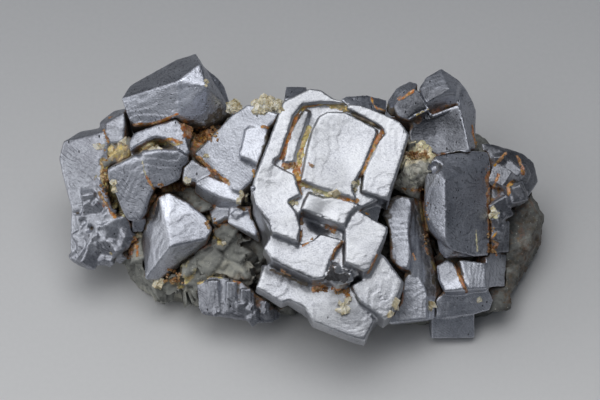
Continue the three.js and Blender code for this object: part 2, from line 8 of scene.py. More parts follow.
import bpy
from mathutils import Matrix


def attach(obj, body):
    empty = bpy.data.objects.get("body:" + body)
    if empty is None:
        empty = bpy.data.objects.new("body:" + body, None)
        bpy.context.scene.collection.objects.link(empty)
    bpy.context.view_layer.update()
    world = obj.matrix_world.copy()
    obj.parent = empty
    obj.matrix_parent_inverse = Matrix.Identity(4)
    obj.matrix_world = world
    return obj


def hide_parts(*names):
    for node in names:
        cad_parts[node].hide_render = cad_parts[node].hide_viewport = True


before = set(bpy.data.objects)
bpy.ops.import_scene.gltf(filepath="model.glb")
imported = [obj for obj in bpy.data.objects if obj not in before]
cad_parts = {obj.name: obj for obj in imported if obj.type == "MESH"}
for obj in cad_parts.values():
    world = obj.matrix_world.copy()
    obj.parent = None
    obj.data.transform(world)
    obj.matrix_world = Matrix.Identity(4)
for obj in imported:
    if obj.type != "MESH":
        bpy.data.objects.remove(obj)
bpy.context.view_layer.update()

import logging
import math
from dataclasses import KW_ONLY, dataclass, field
from enum import Enum

import bmesh
import bpy
import numpy as np
from mathutils import Matrix, Vector
from mathutils.bvhtree import BVHTree

log = logging.getLogger("specimen")

MM = 0.001
PER_MM = 1.0 / MM  # a texture's scale for a pattern of 1 mm
LEAN = math.radians(35.0)
DISPLAY_ORIGIN = np.array([-0.5308, 7.1857, 11.4])
DISPLAY_AXES = np.array([
    [1.0, 0.0, 0.0], [0.0, math.cos(LEAN), -math.sin(LEAN)], [0.0, math.sin(LEAN), math.cos(LEAN)],
])
VIEW_WAY = np.array([0.0, 0.0, 1.0])
ABOVE_MM = 80.0  # well outside the display side
FRONT_CELL_MM = 0.45
FAR = 1e9
TINY = 1e-6

# How the photograph was taken, in the display frame: a long lens that looks straight at the display side
PIXELS_PER_MM = 4.0
SHARP_DEPTH = 20.0
CAMERA_DISTANCE = 1200.0
FRAME_PIXELS = (600, 400)
SENSOR_MM = 36.0


def to_row(points: np.ndarray) -> np.ndarray:
    """Turns N x 3 display-frame millimetres into row-frame metres."""
    return (points @ DISPLAY_AXES.T + DISPLAY_ORIGIN) * MM


def to_display(points: np.ndarray) -> np.ndarray:
    """Turns N x 3 row-frame metres into display-frame millimetres."""
    return (points / MM - DISPLAY_ORIGIN) @ DISPLAY_AXES


def view_scale(depth: np.ndarray | float) -> np.ndarray | float:
    """Pixels to a millimetre at a depth z, which grow as it comes nearer to the camera."""
    return PIXELS_PER_MM * CAMERA_DISTANCE / (CAMERA_DISTANCE + SHARP_DEPTH - depth)


def to_pixels(points: np.ndarray) -> np.ndarray:
    """Where N x 3 display-frame points are seen in the photograph, as N x 2 pixels, y down."""
    scale = view_scale(points[:, 2])
    return np.stack([FRAME_PIXELS[0] / 2 + scale * points[:, 0], FRAME_PIXELS[1] / 2 - scale * points[:, 1]], axis=1)


def from_pixels(x: np.ndarray | float, y: np.ndarray | float, depth: np.ndarray | float) -> tuple:
    """The x and y in the display plane that pixels show at a depth."""
    scale = view_scale(depth)
    return (x - FRAME_PIXELS[0] / 2) / scale, (FRAME_PIXELS[1] / 2 - y) / scale


def smoothstep(low: float, high: float, x: np.ndarray) -> np.ndarray:
    """Rises smoothly from 0 at low to 1 at high: t * t * (3 - 2 t)."""
    t = np.clip((x - low) / (high - low), 0.0, 1.0)
    return t * t * (3.0 - 2.0 * t)


def scatter(cell: np.ndarray, seed: int) -> np.ndarray:
    """A repeatable number for each whole-number cell, by mixing the bits of its place.

    Args:
        cell: N x 3 whole numbers.
        seed: another seed gives other numbers.

    Returns:
        N numbers from 0 to 1.
    """
    c = cell.astype(np.int64)
    h = (c[..., 0] * 374761393 + c[..., 1] * 668265263 + c[..., 2] * 1442695041 + seed * 97531) & 0xFFFFFFFF
    h = ((h ^ (h >> 13)) * 1274126177) & 0xFFFFFFFF
    h ^= h >> 16
    return h / 0xFFFFFFFF


def noise(points: np.ndarray, size: float, seed: int) -> np.ndarray:
    """Smooth lumps: the eight corners of each cell get a random number, blended by smoothstep weights.

    Args:
        points: N x 3 points.
        size: edge of a cell.
        seed: another seed gives other lumps.

    Returns:
        N heights from -1 to 1.
    """
    p = points / size
    base = np.floor(p).astype(np.int64)
    w = smoothstep(0.0, 1.0, p - base)
    total = np.zeros(len(p))
    for corner in np.ndindex(2, 2, 2):
        c = np.array(corner)
        total += np.prod(np.where(c == 1, w, 1.0 - w), axis=1) * scatter(base + c, seed)
    return 2.0 * total - 1.0


def rough(points: np.ndarray, size: float, seed: int, octaves: int = 3) -> np.ndarray:
    """Lumps on lumps: each further layer is half as large and half as high.

    Args:
        points: N x 3 points.
        size: cell of the largest layer.
        seed: another seed gives other lumps.
        octaves: how many layers are added.

    Returns:
        N heights, roughly from -1 to 1.
    """
    total = sum(noise(points, size / 2**k, seed + 17 * k) / 2**k for k in range(octaves))
    return total / (2.0 - 0.5**(octaves - 1))


def cells(points: np.ndarray, size: float, seed: int) -> tuple[np.ndarray, np.ndarray, np.ndarray, np.ndarray]:
    """The nearest of many scattered seeds, one in each cube of the given size.

    Args:
        points: N x 3 points.
        size: edge of the cubes.
        seed: another seed scatters them otherwise.

    Returns:
        Distance to the nearest seed, that seed's own random number, the way from the seed to the point, and how
        much further away the second nearest seed is: 0 on the border between two cells.
    """
    p = points / size
    base = np.floor(p).astype(np.int64)
    best = np.full(len(p), FAR)
    second = np.full(len(p), FAR)
    who = np.zeros(len(p))
    way = np.zeros_like(p)
    for step in np.ndindex(3, 3, 3):
        cell = base + np.array(step) - 1
        d = p - (cell + np.stack([scatter(cell, seed + k) for k in (1, 2, 3)], axis=1))
        length = np.linalg.norm(d, axis=1)
        near = length < best
        second = np.where(near, best, np.minimum(second, length))
        best[near] = length[near]
        who[near] = scatter(cell, seed + 9)[near]
        way[near] = d[near]
    return best * size, who, way * size, (second - best) * size


def unit(vectors: np.ndarray) -> np.ndarray:
    """The same directions with length 1."""
    return vectors / np.maximum(np.linalg.norm(vectors, axis=-1, keepdims=True), 1e-12)


def facing(yaw: float, pitch: float) -> np.ndarray:
    """The direction of a face turned to the right by yaw and up by pitch, in degrees."""
    y, p = math.radians(yaw), math.radians(pitch)
    return np.array([math.sin(y) * math.cos(p), math.sin(p), math.cos(y) * math.cos(p)])


def linear(colour: str) -> tuple[float, float, float, float]:
    """Turns an sRGB hex colour such as "#8a8d94" into linear red, green, blue and an alpha of 1."""
    parts = [int(colour[i:i + 2], 16) / 255.0 for i in (1, 3, 5)]
    return *(c / 12.92 if c <= 0.04045 else ((c + 0.055) / 1.055)**2.4 for c in parts), 1.0


def new_object(name: str, data: bpy.types.ID) -> bpy.types.Object:
    """Adds an object to the scene.

    Args:
        name: the object's name.
        data: its mesh, light or camera.

    Returns:
        The object.
    """
    thing = bpy.data.objects.new(name, data)
    bpy.context.scene.collection.objects.link(thing)
    return thing


def tie(body: bpy.types.Object, slot: str, *nodes: str) -> None:
    """Ties a finished piece to the specimen's one body and reports it.

    Args:
        body: the piece.
        slot: not used.
        nodes: CAD nodes that it replaces.
    """
    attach(body, "root")
    if nodes:
        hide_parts(*nodes)
    log.info("%s: %d faces", body.name, len(body.data.polygons))


def numbers(rows: bpy.types.bpy_prop_collection, key: str, width: int, kind: type = np.float32) -> np.ndarray:
    """Reads one property of all of a mesh's vertices, edges or triangles.

    Args:
        rows: the vertices, edges or triangles.
        key: the property's name.
        width: how many numbers each has.
        kind: the numbers' type.

    Returns:
        N x width numbers.
    """
    flat = np.zeros(len(rows) * width, kind)
    rows.foreach_get(key, flat)
    return flat.reshape(-1, width)


class Deposit(Enum):
    """What fills the seams and coats the rock, each with its sRGB colour; the last is no deposit but painted shade, a
    dark grey laid where a hollow lies in shade.
    """

    RUST = "#b57b4c"
    DARK_RUST = "#8a5a3a"
    TAN = "#bca673"
    CREAM = "#d0c79c"
    OLIVE = "#8b8368"
    SOIL = "#5a5045"
    PALE = "#aeaba0"
    SAND = "#ecdcb4"
    # painted shade, not a deposit: a dark grey for a hollow that lies in shade
    PAINTED_SHADE = "#3d3d40"

    @property
    def colour(self) -> np.ndarray:
        """Its linear colour."""
        return np.array(linear(self.value))


RUST, DARK_RUST, TAN, CREAM, OLIVE, SOIL, PALE, SAND, PAINTED_SHADE = Deposit


@dataclass(frozen=True)
class Stroke:
    """A deposit painted along a line of the photograph, in its pixels."""

    deposit: Deposit
    width: float
    strength: float
    path: tuple[float, ...]  # x and y of each corner in turn
    deep: float = 0.0  # how far below its surroundings, in mm, a surface has to lie to take it fully
    fill: float = 0.0  # how far under the lower edge a strip of it is packed into the seam, in mm; 0 for none
    only: str = ""  # the one piece that takes it

    @property
    def corners(self) -> np.ndarray:
        """The line's corners, N x 2."""
        return np.array(self.path, float).reshape(-1, 2)

    def distance(self, pixels: np.ndarray) -> np.ndarray:
        """Shortest distance from each place to the broken line.

        Args:
            pixels: N x 2 places.

        Returns:
            N distances in pixels.
        """
        best = np.full(len(pixels), FAR)
        for a, b in zip(self.corners[:-1], self.corners[1:]):
            along = np.clip(((pixels - a) @ (b - a)) / ((b - a) @ (b - a)), 0.0, 1.0)
            best = np.minimum(best, np.linalg.norm(pixels - a - along[:, None] * (b - a), axis=1))
        return best


@dataclass(frozen=True)
class Dish:
    """A round hollow, or with a negative depth a swell, on the surfaces that face one way."""

    x: float
    y: float
    z: float
    radius: float
    depth: float
    yaw: float
    pitch: float
    plane_mm = (6.0, 3.0)  # distances from its plane at which it has ended and is whole
    cosines = (0.3, 0.75)  # the same for the cosine between a face and its turn

    def sink(self, points: np.ndarray, normals: np.ndarray) -> np.ndarray:
        """How far each vertex is let in: a smoothstep bowl around the middle, on the faces near its plane and turn.

        Args:
            points: N x 3 places.
            normals: N x 3 directions.

        Returns:
            N depths in mm.
        """
        axis = facing(self.yaw, self.pitch)
        away = points - np.array([self.x, self.y, self.z])
        across = np.linalg.norm(away - (away @ axis)[:, None] * axis, axis=1)
        near = smoothstep(*self.plane_mm, np.abs(away @ axis)) * smoothstep(*self.cosines, normals @ axis)
        return self.depth * near * smoothstep(1.0, 0.0, across / self.radius)


@dataclass(frozen=True)
class PaintedLightAndShade:
    """Painted highlight and shade: faces that look one way are painted brighter, or with a negative gain darker, than
    their neighbours.
    """

    yaw: float
    pitch: float
    gain: float
    spread: float = 18.0
    x: float = 0.0
    y: float = 0.0
    radius: float = 1e4  # pixels around x, y beyond which it ends
    fade_degrees = 12.0
    rim = (1.12, 0.88)  # shares of the radius at which it has ended and is whole

    def amount(self, points: np.ndarray, normals: np.ndarray) -> np.ndarray:
        """The gain of each vertex whose normal is within the spread and whose pixel is within the radius, fading
        out beyond both.

        Args:
            points: N x 3 places.
            normals: N x 3 directions.

        Returns:
            N gains.
        """
        inner, outer = (math.cos(math.radians(a)) for a in (self.spread, self.spread + self.fade_degrees))
        away = np.linalg.norm(to_pixels(points) - np.array([self.x, self.y]), axis=1) / self.radius
        turned = normals @ facing(self.yaw, self.pitch)
        return self.gain * smoothstep(outer, inner, turned) * smoothstep(*self.rim, away)


@dataclass(frozen=True)
class Bend:
    """Bends everything beyond a line of the display plane away from the viewer, ever more steeply."""

    x: float
    y: float
    way_x: float
    way_y: float
    rate: float
    reach: float

    def drop(self, points: np.ndarray) -> np.ndarray:
        """How far each point is moved back: rate * t * t / 2 for the distance t beyond the line, and at the
        slope that it then has beyond the reach.

        Args:
            points: N x 3 places.

        Returns:
            N distances in mm.
        """
        t = np.maximum((points[:, :2] - np.array([self.x, self.y])) @ unit(np.array([self.way_x, self.way_y])), 0.0)
        near = np.minimum(t, self.reach)
        return self.rate * (near * near / 2.0 + self.reach * (t - near))


@dataclass
class Surface:
    """Vertices of one piece while it is being worked: places, directions, edges and named painted values."""

    points: np.ndarray
    normals: np.ndarray
    edges: np.ndarray
    layers: dict[str, np.ndarray] = field(default_factory=dict)

    @classmethod
    def read(cls, mesh: bpy.types.Mesh) -> "Surface":
        """Reads a mesh in the row frame into display-frame arrays."""
        return cls(to_display(numbers(mesh.vertices, "co", 3).astype(float)),
                   unit(numbers(mesh.vertices, "normal", 3).astype(float) @ DISPLAY_AXES),
                   numbers(mesh.edges, "vertices", 2, np.int32))

    def write(self, mesh: bpy.types.Mesh) -> None:
        """Puts the worked vertices, none of them under the floor, and the painted values back into the mesh.

        Args:
            mesh: the mesh that the surface was read from.
        """
        places = to_row(self.points)
        places[:, 2] = np.maximum(places[:, 2], 0.0)
        mesh.vertices.foreach_set("co", places.astype(np.float32).ravel())
        for name, values in self.layers.items():
            kind, key = ("FLOAT", "value") if values.ndim == 1 else ("FLOAT_COLOR", "color")
            mesh.attributes.new(name, kind, "POINT").data.foreach_set(key, values.astype(np.float32).ravel())
        mesh.polygons.foreach_set("use_smooth", np.ones(len(mesh.polygons), bool))
        mesh.update()

    def blurred(self, values: np.ndarray, rounds: int) -> np.ndarray:
        """Averages a value with the neighbours' along the edges, a few times over.

        Args:
            values: one number or row for each vertex.
            rounds: how often it is averaged.

        Returns:
            The blurred values.
        """
        a, b = self.edges[:, 0], self.edges[:, 1]
        count = np.bincount(a, minlength=len(self.points)) + np.bincount(b, minlength=len(self.points)) + 1
        flat = values.astype(float).reshape(len(values), -1)
        for _ in range(rounds):
            total = flat.copy()
            for k in range(flat.shape[1]):
                total[:, k] += np.bincount(a, flat[b, k], len(flat)) + np.bincount(b, flat[a, k], len(flat))
            flat = total / count[:, None]
        return flat.reshape(values.shape)


CUBE_CORNERS = np.array([[x, y, z] for x in (-0.5, 0.5) for y in (-0.5, 0.5) for z in (-0.5, 0.5)])
CUBE_FACES = np.array([[0, 1, 3, 2], [4, 6, 7, 5], [0, 4, 5, 1], [2, 3, 7, 6], [0, 2, 6, 4], [1, 5, 7, 3]])


def turned_boxes(name: str, middles: np.ndarray, sizes: np.ndarray, turns: np.ndarray, lean: float) -> bpy.types.Mesh:
    """Many small crystals in one mesh: a box's eight corners, sheared along x and y by its height times lean,
    scaled, turned by each crystal's unit quaternion and moved to its place.

    Args:
        name: the mesh's name.
        middles: N x 3 places in the display frame, in mm.
        sizes: N x 3 edges, in mm.
        turns: N x 4 quaternions, of any length.
        lean: 0 for cubes, about 0.3 for rhombs.

    Returns:
        The mesh, in the row frame.
    """
    corners = CUBE_CORNERS + lean * np.stack([CUBE_CORNERS[:, 2], CUBE_CORNERS[:, 2], np.zeros(8)], axis=1)
    w, x, y, z = unit(turns).T
    turn = np.array([
        [1 - 2 * (y * y + z * z), 2 * (x * y - w * z), 2 * (x * z + w * y)],
        [2 * (x * y + w * z), 1 - 2 * (x * x + z * z), 2 * (y * z - w * x)],
        [2 * (x * z - w * y), 2 * (y * z + w * x), 1 - 2 * (x * x + y * y)],
    ]).transpose(2, 0, 1)
    points = middles[:, None, :] + np.einsum("nij,nkj->nki", turn, corners[None] * sizes[:, None, :])
    faces = (np.arange(len(middles)) * 8)[:, None, None] + CUBE_FACES[None]
    mesh = bpy.data.meshes.new(name)
    mesh.from_pydata(to_row(points.reshape(-1, 3)).tolist(), [], faces.reshape(-1, 4).tolist())
    mesh.update()
    return mesh


class DisplaySide:
    """Finds the CAD surface behind a pixel of the photograph."""

    usual_depth = 15.0

    def __init__(self) -> None:
        """Gathers the triangles of all CAD nodes in the display frame."""
        corners, faces, start = [], [], 0
        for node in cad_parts.values():
            mesh = node.data
            mesh.calc_loop_triangles()
            corners.append(to_display(numbers(mesh.vertices, "co", 3).astype(float)))
            faces.append(numbers(mesh.loop_triangles, "vertices", 3, np.int32) + start)
            start += len(mesh.vertices)
        self.tree = BVHTree.FromPolygons(np.concatenate(corners).tolist(), np.concatenate(faces).tolist())

    def hit(self, x: float, y: float) -> Vector | None:
        """The outermost surface point at a place of the display plane, or None beside the specimen."""
        return self.tree.ray_cast(Vector((x, y, ABOVE_MM)), Vector((0.0, 0.0, -1.0)))[0]

    def point(self, x: float, y: float) -> np.ndarray:
        """The surface point that a pixel shows, found by repeating the view's scale at the depth last met.

        Args:
            x: pixels from the photograph's left edge.
            y: pixels from its top edge.

        Returns:
            The point in the display frame, in mm.
        """
        depth = self.usual_depth
        for _ in range(3):
            u, v = from_pixels(x, y, depth)
            hit = self.hit(u, v)
            depth = hit.z if hit is not None else depth
        return np.array([u, v, depth])


@dataclass(frozen=True)
class Sprinkle:
    """Small crystals or grains around one pixel of the photograph."""

    x: float
    y: float
    spread_x: float
    spread_y: float
    count: int
    size_mm: float
    sink: float = 0.15  # how deep the middle sits in the surface, in sizes


def groups(*rows: tuple[float, ...]) -> tuple[Sprinkle, ...]:
    """Groups of small crystals, each from a row with the fields of Sprinkle."""
    return tuple(Sprinkle(*row) for row in rows)


def sprinkled(name: str, side: DisplaySide, spots: tuple[Sprinkle, ...], seed: int, lean: float,
              stretch: float = 0.35) -> bpy.types.Mesh:
    """Scatters small crystals over the groups' pixels and sets each on the surface there.

    Args:
        name: the mesh's name.
        side: finds the surface.
        spots: where, how many and how large.
        seed: another seed scatters them otherwise.
        lean: 0 for cubes, about 0.3 for rhombs.
        stretch: how much the three edges differ.

    Returns:
        The mesh, in the row frame.
    """
    rng = np.random.default_rng(seed)
    middles, sizes = [], []
    for group in spots:
        offsets = rng.uniform(-1.0, 1.0, (group.count, 2)) * np.array([group.spread_x, group.spread_y])
        edges = group.size_mm * rng.uniform(0.6, 1.3, group.count)
        for (dx, dy), edge in zip(offsets, edges):
            spot = side.point(group.x + dx, group.y + dy)
            if side.hit(spot[0], spot[1]) is None:
                continue
            middles.append(spot - group.sink * edge * VIEW_WAY)
            sizes.append(edge * rng.uniform(1.0 - stretch, 1.0 + stretch, 3))
    turns = rng.normal(size=(len(middles), 4))
    return turned_boxes(name, np.array(middles), np.array(sizes), turns, lean)


class DepthMap:
    """The outermost depth of the whole specimen seen from one direction, on a grid of square cells."""

    empty = -1000.0

    def __init__(self, points: np.ndarray, direction: np.ndarray, cell: float) -> None:
        """Lays every point on the grid and keeps the outermost of each cell.

        Args:
            points: N x 3 points of all pieces together.
            direction: the way that it is seen from.
            cell: edge of a grid cell, in mm.
        """
        helper = np.array([0.0, 1.0, 0.0]) if abs(direction[1]) < 0.9 else np.array([1.0, 0.0, 0.0])
        self.side = unit(np.cross(helper, direction))
        self.up = np.cross(direction, self.side)
        self.direction = direction
        self.cell = cell
        flat = self.flat(points)
        self.low = np.floor(flat.min(axis=0)).astype(int) - 2
        self.grid = np.full(np.ceil(flat.max(axis=0)).astype(int) - self.low + 3, self.empty)
        place = np.floor(flat).astype(int) - self.low
        np.maximum.at(self.grid, (place[:, 0], place[:, 1]), points @ direction)

    def flat(self, points: np.ndarray) -> np.ndarray:
        """Where each point lies across the direction, in cells."""
        return np.stack([points @ self.side, points @ self.up], axis=1) / self.cell

    def place(self, points: np.ndarray) -> tuple[np.ndarray, np.ndarray]:
        """The grid cell of each point."""
        at = np.clip(np.floor(self.flat(points)).astype(int) - self.low, 0, np.array(self.grid.shape) - 1)
        return at[:, 0], at[:, 1]

    def below(self, points: np.ndarray) -> np.ndarray:
        """How far each point lies behind the outermost surface of its cell, in mm."""
        return self.grid[self.place(points)] - points @ self.direction

    def sunk(self, points: np.ndarray, reach: float) -> np.ndarray:
        """How far each point lies behind the mean surface within the given reach, by repeated box averages.

        Args:
            points: N x 3 points.
            reach: radius of the neighbourhood, in mm.

        Returns:
            The depth in mm, positive in seams and hollows.
        """
        known = self.grid > 0.9 * self.empty
        height = np.where(known, self.grid, 0.0)
        weight = known.astype(float)
        for _ in range(round(reach / self.cell)):
            for axis in (0, 1):
                height, weight = ((np.roll(m, 1, axis) + m + np.roll(m, -1, axis)) / 3.0 for m in (height, weight))
        mean = height / np.maximum(weight, TINY)
        return mean[self.place(points)] - points @ self.direction


def sphere_directions(count: int) -> np.ndarray:
    """Directions spread evenly over a sphere by the golden angle.

    Args:
        count: how many.

    Returns:
        count x 3 unit vectors.
    """
    k = np.arange(count) + 0.5
    z = 1.0 - 2.0 * k / count
    turn = k * math.pi * (3.0 - math.sqrt(5.0))
    r = np.sqrt(1.0 - z * z)
    return np.stack([r * np.cos(turn), r * np.sin(turn), z], axis=1)


STROKES: tuple[Stroke, ...] = tuple(
    Stroke(*row) for row in (
        # deposit, width, strength, path, deep, fill, only
        # rock and rust left of the grey face
        (DARK_RUST, 22, 0.9, (186, 126, 200, 133, 214, 128), 0, 0, "rock_lump"),
        (RUST, 12, 0.8, (190, 142, 206, 134), 0, 0, "rock_lump"),
        (DARK_RUST, 12, 0.8, (186, 128, 198, 140, 206, 130), 0, 0, "rounded_blocks"),
        # seam between the grey face and the blocks left of it
        (RUST, 4, 0.9, (192, 153, 208, 166, 229, 184), 0, 0.5),
        # grooves inside the frame
        (RUST, 5.5, 1, (289, 107, 297, 114, 290, 132, 282, 157), 0.4, 0.5),
        (RUST, 9, 0.9, (284, 168, 297, 163, 296, 174), 0.3, 0.6),
        (TAN, 6, 1, (309, 128, 303, 145, 297, 163), 0.4, 0.5),
        (RUST, 2.4, 1, (307, 134, 301, 152), 0.5),
        (TAN, 5.5, 0.9, (299, 111, 305, 105, 320, 102.5, 333, 106, 348, 110), 0.3, 0.6),
        (RUST, 2, 0.7, (303, 108, 318, 104), 0.4),
        (RUST, 5, 0.9, (297, 173, 299, 184, 301, 194, 289, 202), 0.3, 0.5),
        (CREAM, 4, 1, (290, 202, 296, 203), 0.2),
        (TAN, 4.5, 0.9, (302, 184, 312, 188), 0.4, 0.5),
        (CREAM, 4.5, 0.9, (312, 189, 328, 194, 340, 198), 0.4, 0.5),
        (RUST, 4, 0.8, (340, 198, 357, 201), 0.4, 0.5),
        (SOIL, 4.5, 0.8, (352, 115, 368, 121, 384, 128), 0.4, 0.5),
        (RUST, 5, 1, (382, 131, 373, 148, 366, 163, 360, 176), 0.4, 0.5),
        (TAN, 1.6, 0.8, (379, 140, 369, 160), 0.4),
        (CREAM, 5, 0.9, (357, 182, 354, 192), 0.4, 0.5),
        (RUST, 1.8, 0.9, (360, 211, 368, 215, 376, 221), 0.2),
        # pocket below the lower left corner of the frame
        (RUST, 3, 0.9, (301, 212, 302, 226, 299, 240), 0.5),
        (RUST, 1.8, 1, (303, 246, 308, 243, 313, 238)),
        (RUST, 5, 0.9, (327, 226, 333, 231)),
        (RUST, 2.4, 0.9, (332, 259, 336, 249, 342, 242)),
        (RUST, 2.4, 0.9, (369, 272, 377, 254)),
        (RUST, 3, 0.7, (281, 270, 290, 275), 0.3),
        # painted shade: a dark soil-coloured line along the shaded hollow under the step
        (SOIL, 4, 0.7, (264, 267, 284, 275, 306, 284), 0.4),
        (RUST, 6, 1, (313, 290, 320, 286, 326, 288)),
        (RUST, 4, 0.9, (333, 288, 341, 290, 348, 296)),
        (RUST, 2.6, 1, (309, 163, 313, 166)),
        # between the column, the dark cube and its foot
        (DARK_RUST, 5, 0.8, (423, 198, 426, 226, 430, 250, 436, 268), 0.5, 1.6),
        (TAN, 2.4, 0.9, (421, 203, 423, 220)),
        (RUST, 2.4, 0.8, (426, 248, 428, 254)),
        (TAN, 3, 0.8, (432, 262, 435, 268)),
        (RUST, 2, 0.9, (413, 254, 416, 260)),
        (DARK_RUST, 4, 0.9, (454, 258, 459, 272, 466, 290), 0, 0, "cube_foot"),
        (RUST, 1.8, 0.9, (458, 274, 466, 290), 0, 0, "cube_foot"),
        (CREAM, 1.2, 1, (476.5, 231, 477, 252)),
        # right end
        (RUST, 3, 1, (495, 165, 500, 159, 505, 154)),
        (RUST, 3.2, 1, (517, 157, 521, 164, 523, 174)),
        (RUST, 3, 1, (499, 175, 496, 182, 493, 188)),
        (RUST, 2.4, 1, (491, 187, 487, 194, 487, 201)),
        (RUST, 3, 1, (512, 182, 508, 187, 509, 194)),
        (CREAM, 5, 0.8, (493, 208, 496, 216)),
        (RUST, 2.2, 1, (496, 233, 491, 240, 498, 244, 492, 250, 496, 255)),
        (RUST, 2, 0.8, (472, 126, 474, 138, 477, 149)),
        # upper right
        (RUST, 3, 1, (399, 99, 406, 95, 413, 91)),
        (TAN, 1.8, 1, (416, 115, 423, 112, 429, 109)),
        (RUST, 2.2, 0.8, (371, 98, 374, 107, 388, 112)),
        # rock patch between the frame and the dark cube
        (SAND, 22, 1, (404, 158, 424, 150, 434, 156), 0, 0, "rock_lump"),
        (PALE, 26, 0.9, (402, 182, 420, 174, 432, 182), 0, 0, "rock_lump"),
        (RUST, 3, 0.7, (402, 188, 416, 190, 428, 186), 0, 0, "rock_lump"),
        (SOIL, 44, 0.4, (530, 190, 540, 215, 535, 250, 520, 290), 0, 0, "rock_lump"),
        # upper left
        (RUST, 3, 0.9, (134, 125, 150, 124, 164, 120, 178, 114), 0, 0.6),
        (TAN, 6, 0.9, (142, 149, 152, 144, 166, 141, 180, 143), 0.2, 0.8),
        (RUST, 3, 0.8, (160, 141, 172, 139, 182, 143)),
        (RUST, 2, 0.9, (104, 130, 108, 142)),
        (RUST, 4, 0.8, (98, 145, 101, 148)),
        (TAN, 16, 0.8, (104, 152, 114, 152, 126, 156), 0, 0, "rock_lump"),
        (DARK_RUST, 6, 0.6, (101, 158, 98, 180, 103, 200, 112, 220), 0.2),
        (TAN, 5, 0.9, (101, 160, 99, 178), 0.1),
        (RUST, 2.6, 0.9, (99, 192, 104, 200, 115, 217)),
        (CREAM, 1.4, 0.8, (142, 160, 146, 175)),
        (DARK_RUST, 8, 0.7, (110, 120, 114, 132, 122, 142), 0.4, 1.6),
        # painted shade: dark grey over the shaded hollow low in the bright middle
        (PAINTED_SHADE, 11, 0.8, (331, 274, 343, 278), 0, 0, "stepped_crystal"),
        (TAN, 11, 0.9, (124, 147, 113, 149, 105, 156, 101, 168, 102, 182, 107, 196, 114, 209), 0.1, 0.1),
        (CREAM, 7, 0.9, (110, 172, 113, 186, 118, 200, 124, 213), 0.1, 0.1),
        (SOIL, 4, 0.7, (268, 132, 264, 152, 258, 178, 251, 194), 0.5, 1.6),
        (DARK_RUST, 4, 0.8, (156, 194, 150, 204, 146, 216), 0.3, 1.4),
        (RUST, 4, 0.7, (184, 122, 189, 136, 194, 148), 0.3, 1),
        (DARK_RUST, 4.5, 0.8, (487, 166, 488, 190, 489, 214, 492, 240), 0.4, 1.4),
        (SOIL, 5, 0.8, (205, 214, 214, 222, 222, 226), 0.3, 1.2),
        (RUST, 2.2, 1, (147, 177, 153, 188, 158, 192)),
        (DARK_RUST, 8, 0.9, (158, 190, 176, 186, 190, 184), 0, 1.4, "rock_lump"),
        (RUST, 3, 0.9, (166, 188, 184, 186), 0, 0, "rock_lump"),
        # lower left
        (DARK_RUST, 5, 0.9, (137, 236, 132, 246, 129, 257), 0, 0.5),
        (RUST, 2.4, 0.9, (135, 240, 138, 256)),
        (DARK_RUST, 5, 0.6, (200, 212, 206, 224), 0, 0, "rock_lump"),
        (TAN, 4, 0.8, (214, 236, 222, 244), 0, 0, "rock_lump"),
        (TAN, 8, 0.45, (170, 280, 180, 284, 196, 272), 0, 0, "rock_lump"),
        (OLIVE, 7, 0.6, (176, 268, 186, 262), 0, 0, "rock_lump"),
        (TAN, 2.4, 0.9, (199, 283, 210, 277, 222, 278)),
        (RUST, 2.4, 0.9, (234, 281, 239, 282)),
        (RUST, 3, 0.8, (254, 170, 257, 186), 0.3),
        (OLIVE, 4, 0.8, (240, 190, 246, 204), 0.3, 0.2),
        (RUST, 2.2, 0.9, (262, 126, 268, 127)),
    )
)


def paint(surface: Surface, front: DepthMap, loose: float, name: str) -> None:
    """Lays the deposits on a surface: the strokes, and a thin film in every sheltered seam.

    Args:
        surface: the worked arrays, which get their stain and tint.
        front: depth of the whole specimen seen from the display side.
        loose: how much of the sheltered places takes a film, from 0 to 1.
        name: the piece's name.
    """
    p = surface.points
    # lumps of 1 to 5 mm push the strokes aside, fray their rims, wear them thin and mix the film's two browns
    wavy_pixels = to_pixels(p) + 1.4 * np.stack([rough(p, 2.6, 301), rough(p, 2.6, 302)], axis=1)
    ragged = np.clip(1.0 + 1.1 * rough(p, 1.3, 303), 0.3, 2.0)
    worn = 0.55 + 0.45 * smoothstep(-0.35, 0.15, rough(p, 1.0, 306))
    seen = smoothstep(2.5, 0.8, front.below(p))  # nothing that lies more than 2.5 mm behind the outermost surface
    sunk = front.sunk(p, 2.4)
    shelter = smoothstep(0.5, 0.2, surface.layers["open_sky"] + 0.16 * rough(p, 3.0, 304))
    warm = smoothstep(-0.1, 0.5, rough(p, 5.0, 305))[:, None]
    stain = loose * shelter
    tint = DARK_RUST.colour * warm + SOIL.colour * (1.0 - warm)
    for stroke in STROKES:
        if stroke.only not in ("", name):
            continue
        half = stroke.width / 2.0
        mask = smoothstep(half * 1.3, half * 0.7, stroke.distance(wavy_pixels) / ragged)
        if stroke.deep > 0.0:
            mask *= smoothstep(-0.1, stroke.deep, sunk)
        mask *= seen * stroke.strength * worn
        cover = smoothstep(0.15, 0.5, mask)[:, None]
        tint = tint * (1.0 - cover) + stroke.deposit.colour * cover
        stain = np.maximum(stain, mask)
    surface.layers["stain"] = np.clip(stain, 0.0, 1.0)
    surface.layers["tint"] = tint


